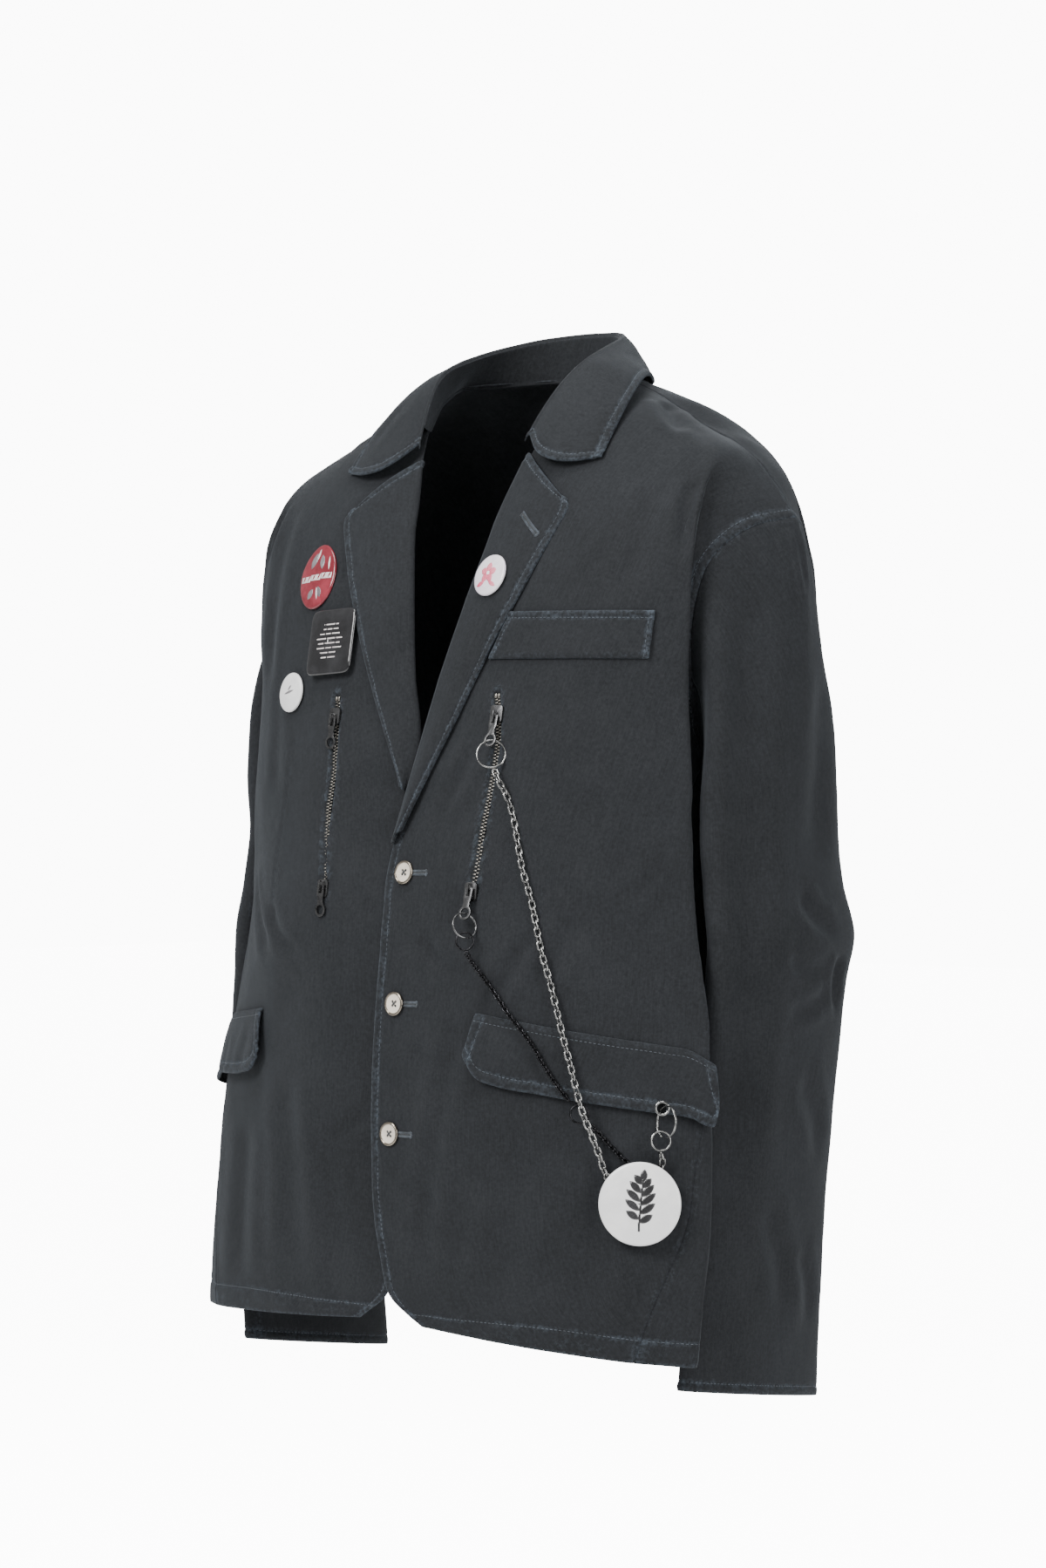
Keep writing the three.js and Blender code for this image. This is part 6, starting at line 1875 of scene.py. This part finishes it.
shape = {"width": 23, "height": 25, "rim": 2.1, "dome": 1.0}
seat = makeBadge("badge_plate", shape, "gloss", "black_badge", 0.05, plateOutline)
bars = []
for row, (start, parts) in enumerate((( -13, (6, 9, 5)), (-14, (9, 5, 9)), (-11, (5, 5, 8)),
        (-14, (10, 8, 6)), (-12, (6, 10, 4)), (-13, (8, 6, 9)),
        (-10, (9, 7)), (-14, (12, 14)))):
    x = start
    for width in parts:
        bars.append(barShape(x, 12.5 - 3.6 * row, width, 0.95))
        x += width + 1.3
motif("badge_bars", seat, shape, bars, "band", "black_badge", 0.1)
print("zips and badges")


# studio: white room, soft lights, pale floor below the hem
studio = {"floor": -1.15, "floorHalf": 14, "world": 0.42, "backdrop": 11.0, "key": 92, "fill": 64,
    "rim": 42, "top": 20}


def makeLight(name, place, target, size, power):
    data = bpy.data.lights.new(name, "AREA")
    data.shape = "RECTANGLE"
    data.size, data.size_y = size
    data.energy = power
    light = shown(name, data)
    light.location = place
    light.rotation_euler = (Vector(target) - Vector(place)).to_track_quat("-Z", "Y").to_euler()


def makeStudio(setup):
    world = bpy.data.worlds.new("studio")
    world.use_nodes = True
    tree = world.node_tree
    seen = node(tree, "ShaderNodeLightPath").outputs["Is Camera Ray"]
    background = tree.nodes["Background"]
    background.inputs[0].default_value = (1, 1, 1, 1)
    strength = node(tree, "ShaderNodeMapRange", {"Value": seen, "To Min": setup["world"],
        "To Max": setup["backdrop"]})
    tree.links.new(strength.outputs[0], background.inputs[1])
    bpy.context.scene.world = world
    makeLight("key", (-0.3, -2.3, 1.35), (0, 0, -0.36), (1.2, 1.2), setup["key"])
    makeLight("fill", (2.9, -0.6, 0.4), (0, 0, -0.3), (1.4, 2.0), setup["fill"])
    makeLight("rim", (-1.6, 1.8, 1.0), (0, 0, -0.2), (1.4, 1.6), setup["rim"])
    makeLight("top", (0.1, -0.5, 1.5), (0, 0.02, 0), (0.9, 0.9), setup["top"])
    half = setup["floorHalf"]
    floor = makeMesh("floor", np.array([(-half, -half, 0), (half, -half, 0), (half, half, 0),
        (-half, half, 0)]) / mm, [(0, 1, 2, 3)])
    floor.location.z = setup["floor"]
    material, tree, shader = newMaterial("floor_paper")
    ray = node(tree, "ShaderNodeLightPath").outputs["Is Camera Ray"]
    plug(tree, shader, {
        "Base Color": mixed(tree, noise(tree, inSpace(tree), 40.0, 2.0), (0.93, 0.93, 0.93, 1),
          (0.97, 0.97, 0.97, 1)),
        "Roughness": 0.95, "Emission Color": (1, 1, 1, 1),
        "Emission Strength": times(tree, ray, setup["backdrop"])})
    floor.data.materials.append(material)


makeStudio(studio)


# what each piece is made of, rides on and stands for
def settle(name, look, body="jacket", nodes=()):
    piece = bpy.data.objects[name]
    if not piece.data.materials:
        piece.data.materials.append(looks[look])
    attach(piece, body)
    if nodes:
        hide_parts(*nodes)


clothNodes = {"shell_collar_leaf": "collar_leaf", "shell_collar_stand": "collar_stand",
    "shell_breast_welt": "breast_welt"}
for word in ("left", "right"):
    clothNodes.update({f"shell_front_{word}": f"front_{word}", f"shell_back_{word}": f"back_{word}",
        f"shell_side_{word}": f"side_panel_{word}",
        f"shell_sleeve_top_{word}": f"sleeve_top_{word}",
        f"shell_sleeve_under_{word}": f"sleeve_under_{word}",
        f"shell_lapel_{word}": f"lapel_{word}", f"shell_flap_{word}": f"flap_{word}"})
for name, cadNode in clothNodes.items():
    settle(name, "twill", nodes=[cadNode])
for name in stitchNames:
    settle(name, "thread")
for name, look, slotName, body, nodes in hard:
    settle(name, look, body, nodes)

# cut of each piece as it shows: width, length, area, and the sewing on it
sheetCuts = {
    "front_left": (0.278, 0.786, 0.173, ["stitches_front_left"]),
    "front_right": (0.278, 0.780, 0.172, ["stitches_front_right"]),
    "side_left": (0.275, 0.443, 0.081, []),
    "side_right": (0.272, 0.436, 0.080, []),
    "back_left": (0.306, 0.749, 0.163, ["stitches_back_left"]),
    "back_right": (0.306, 0.746, 0.162, ["stitches_back_right"]),
    "sleeve_top_left": (0.316, 0.630, 0.113, ["stitches_cuff_left"]),
    "sleeve_top_right": (0.316, 0.632, 0.113, ["stitches_cuff_right"]),
    "sleeve_under_left": (0.193, 0.530, 0.071, []),
    "sleeve_under_right": (0.193, 0.531, 0.071, []),
    "lapel_left": (0.070, 0.303, 0.0129, ["stitches_lapel_left"]),
    "lapel_right": (0.070, 0.264, 0.0121, ["stitches_lapel_right"]),
    "flap_left": (0.211, 0.048, 0.0091, ["stitches_flap_left"]),
    "flap_right": (0.171, 0.049, 0.0071, ["stitches_flap_right"]),
    "collar_leaf": (0.494, 0.087, 0.0266, ["stitches_collar"]),
    "collar_stand": (0.375, 0.034, 0.0096, []),
    "breast_welt": (0.129, 0.037, 0.0045, ["stitches_welt"])}
# each piece's name split into its kind and side
for name, (width, length, area, sewing) in sheetCuts.items():
    kind, _, word = name.rpartition("_")

# each chain's path, in metres
for name, look in chainLooks.items():
    path = chainPath(name) * mm

print("finish")
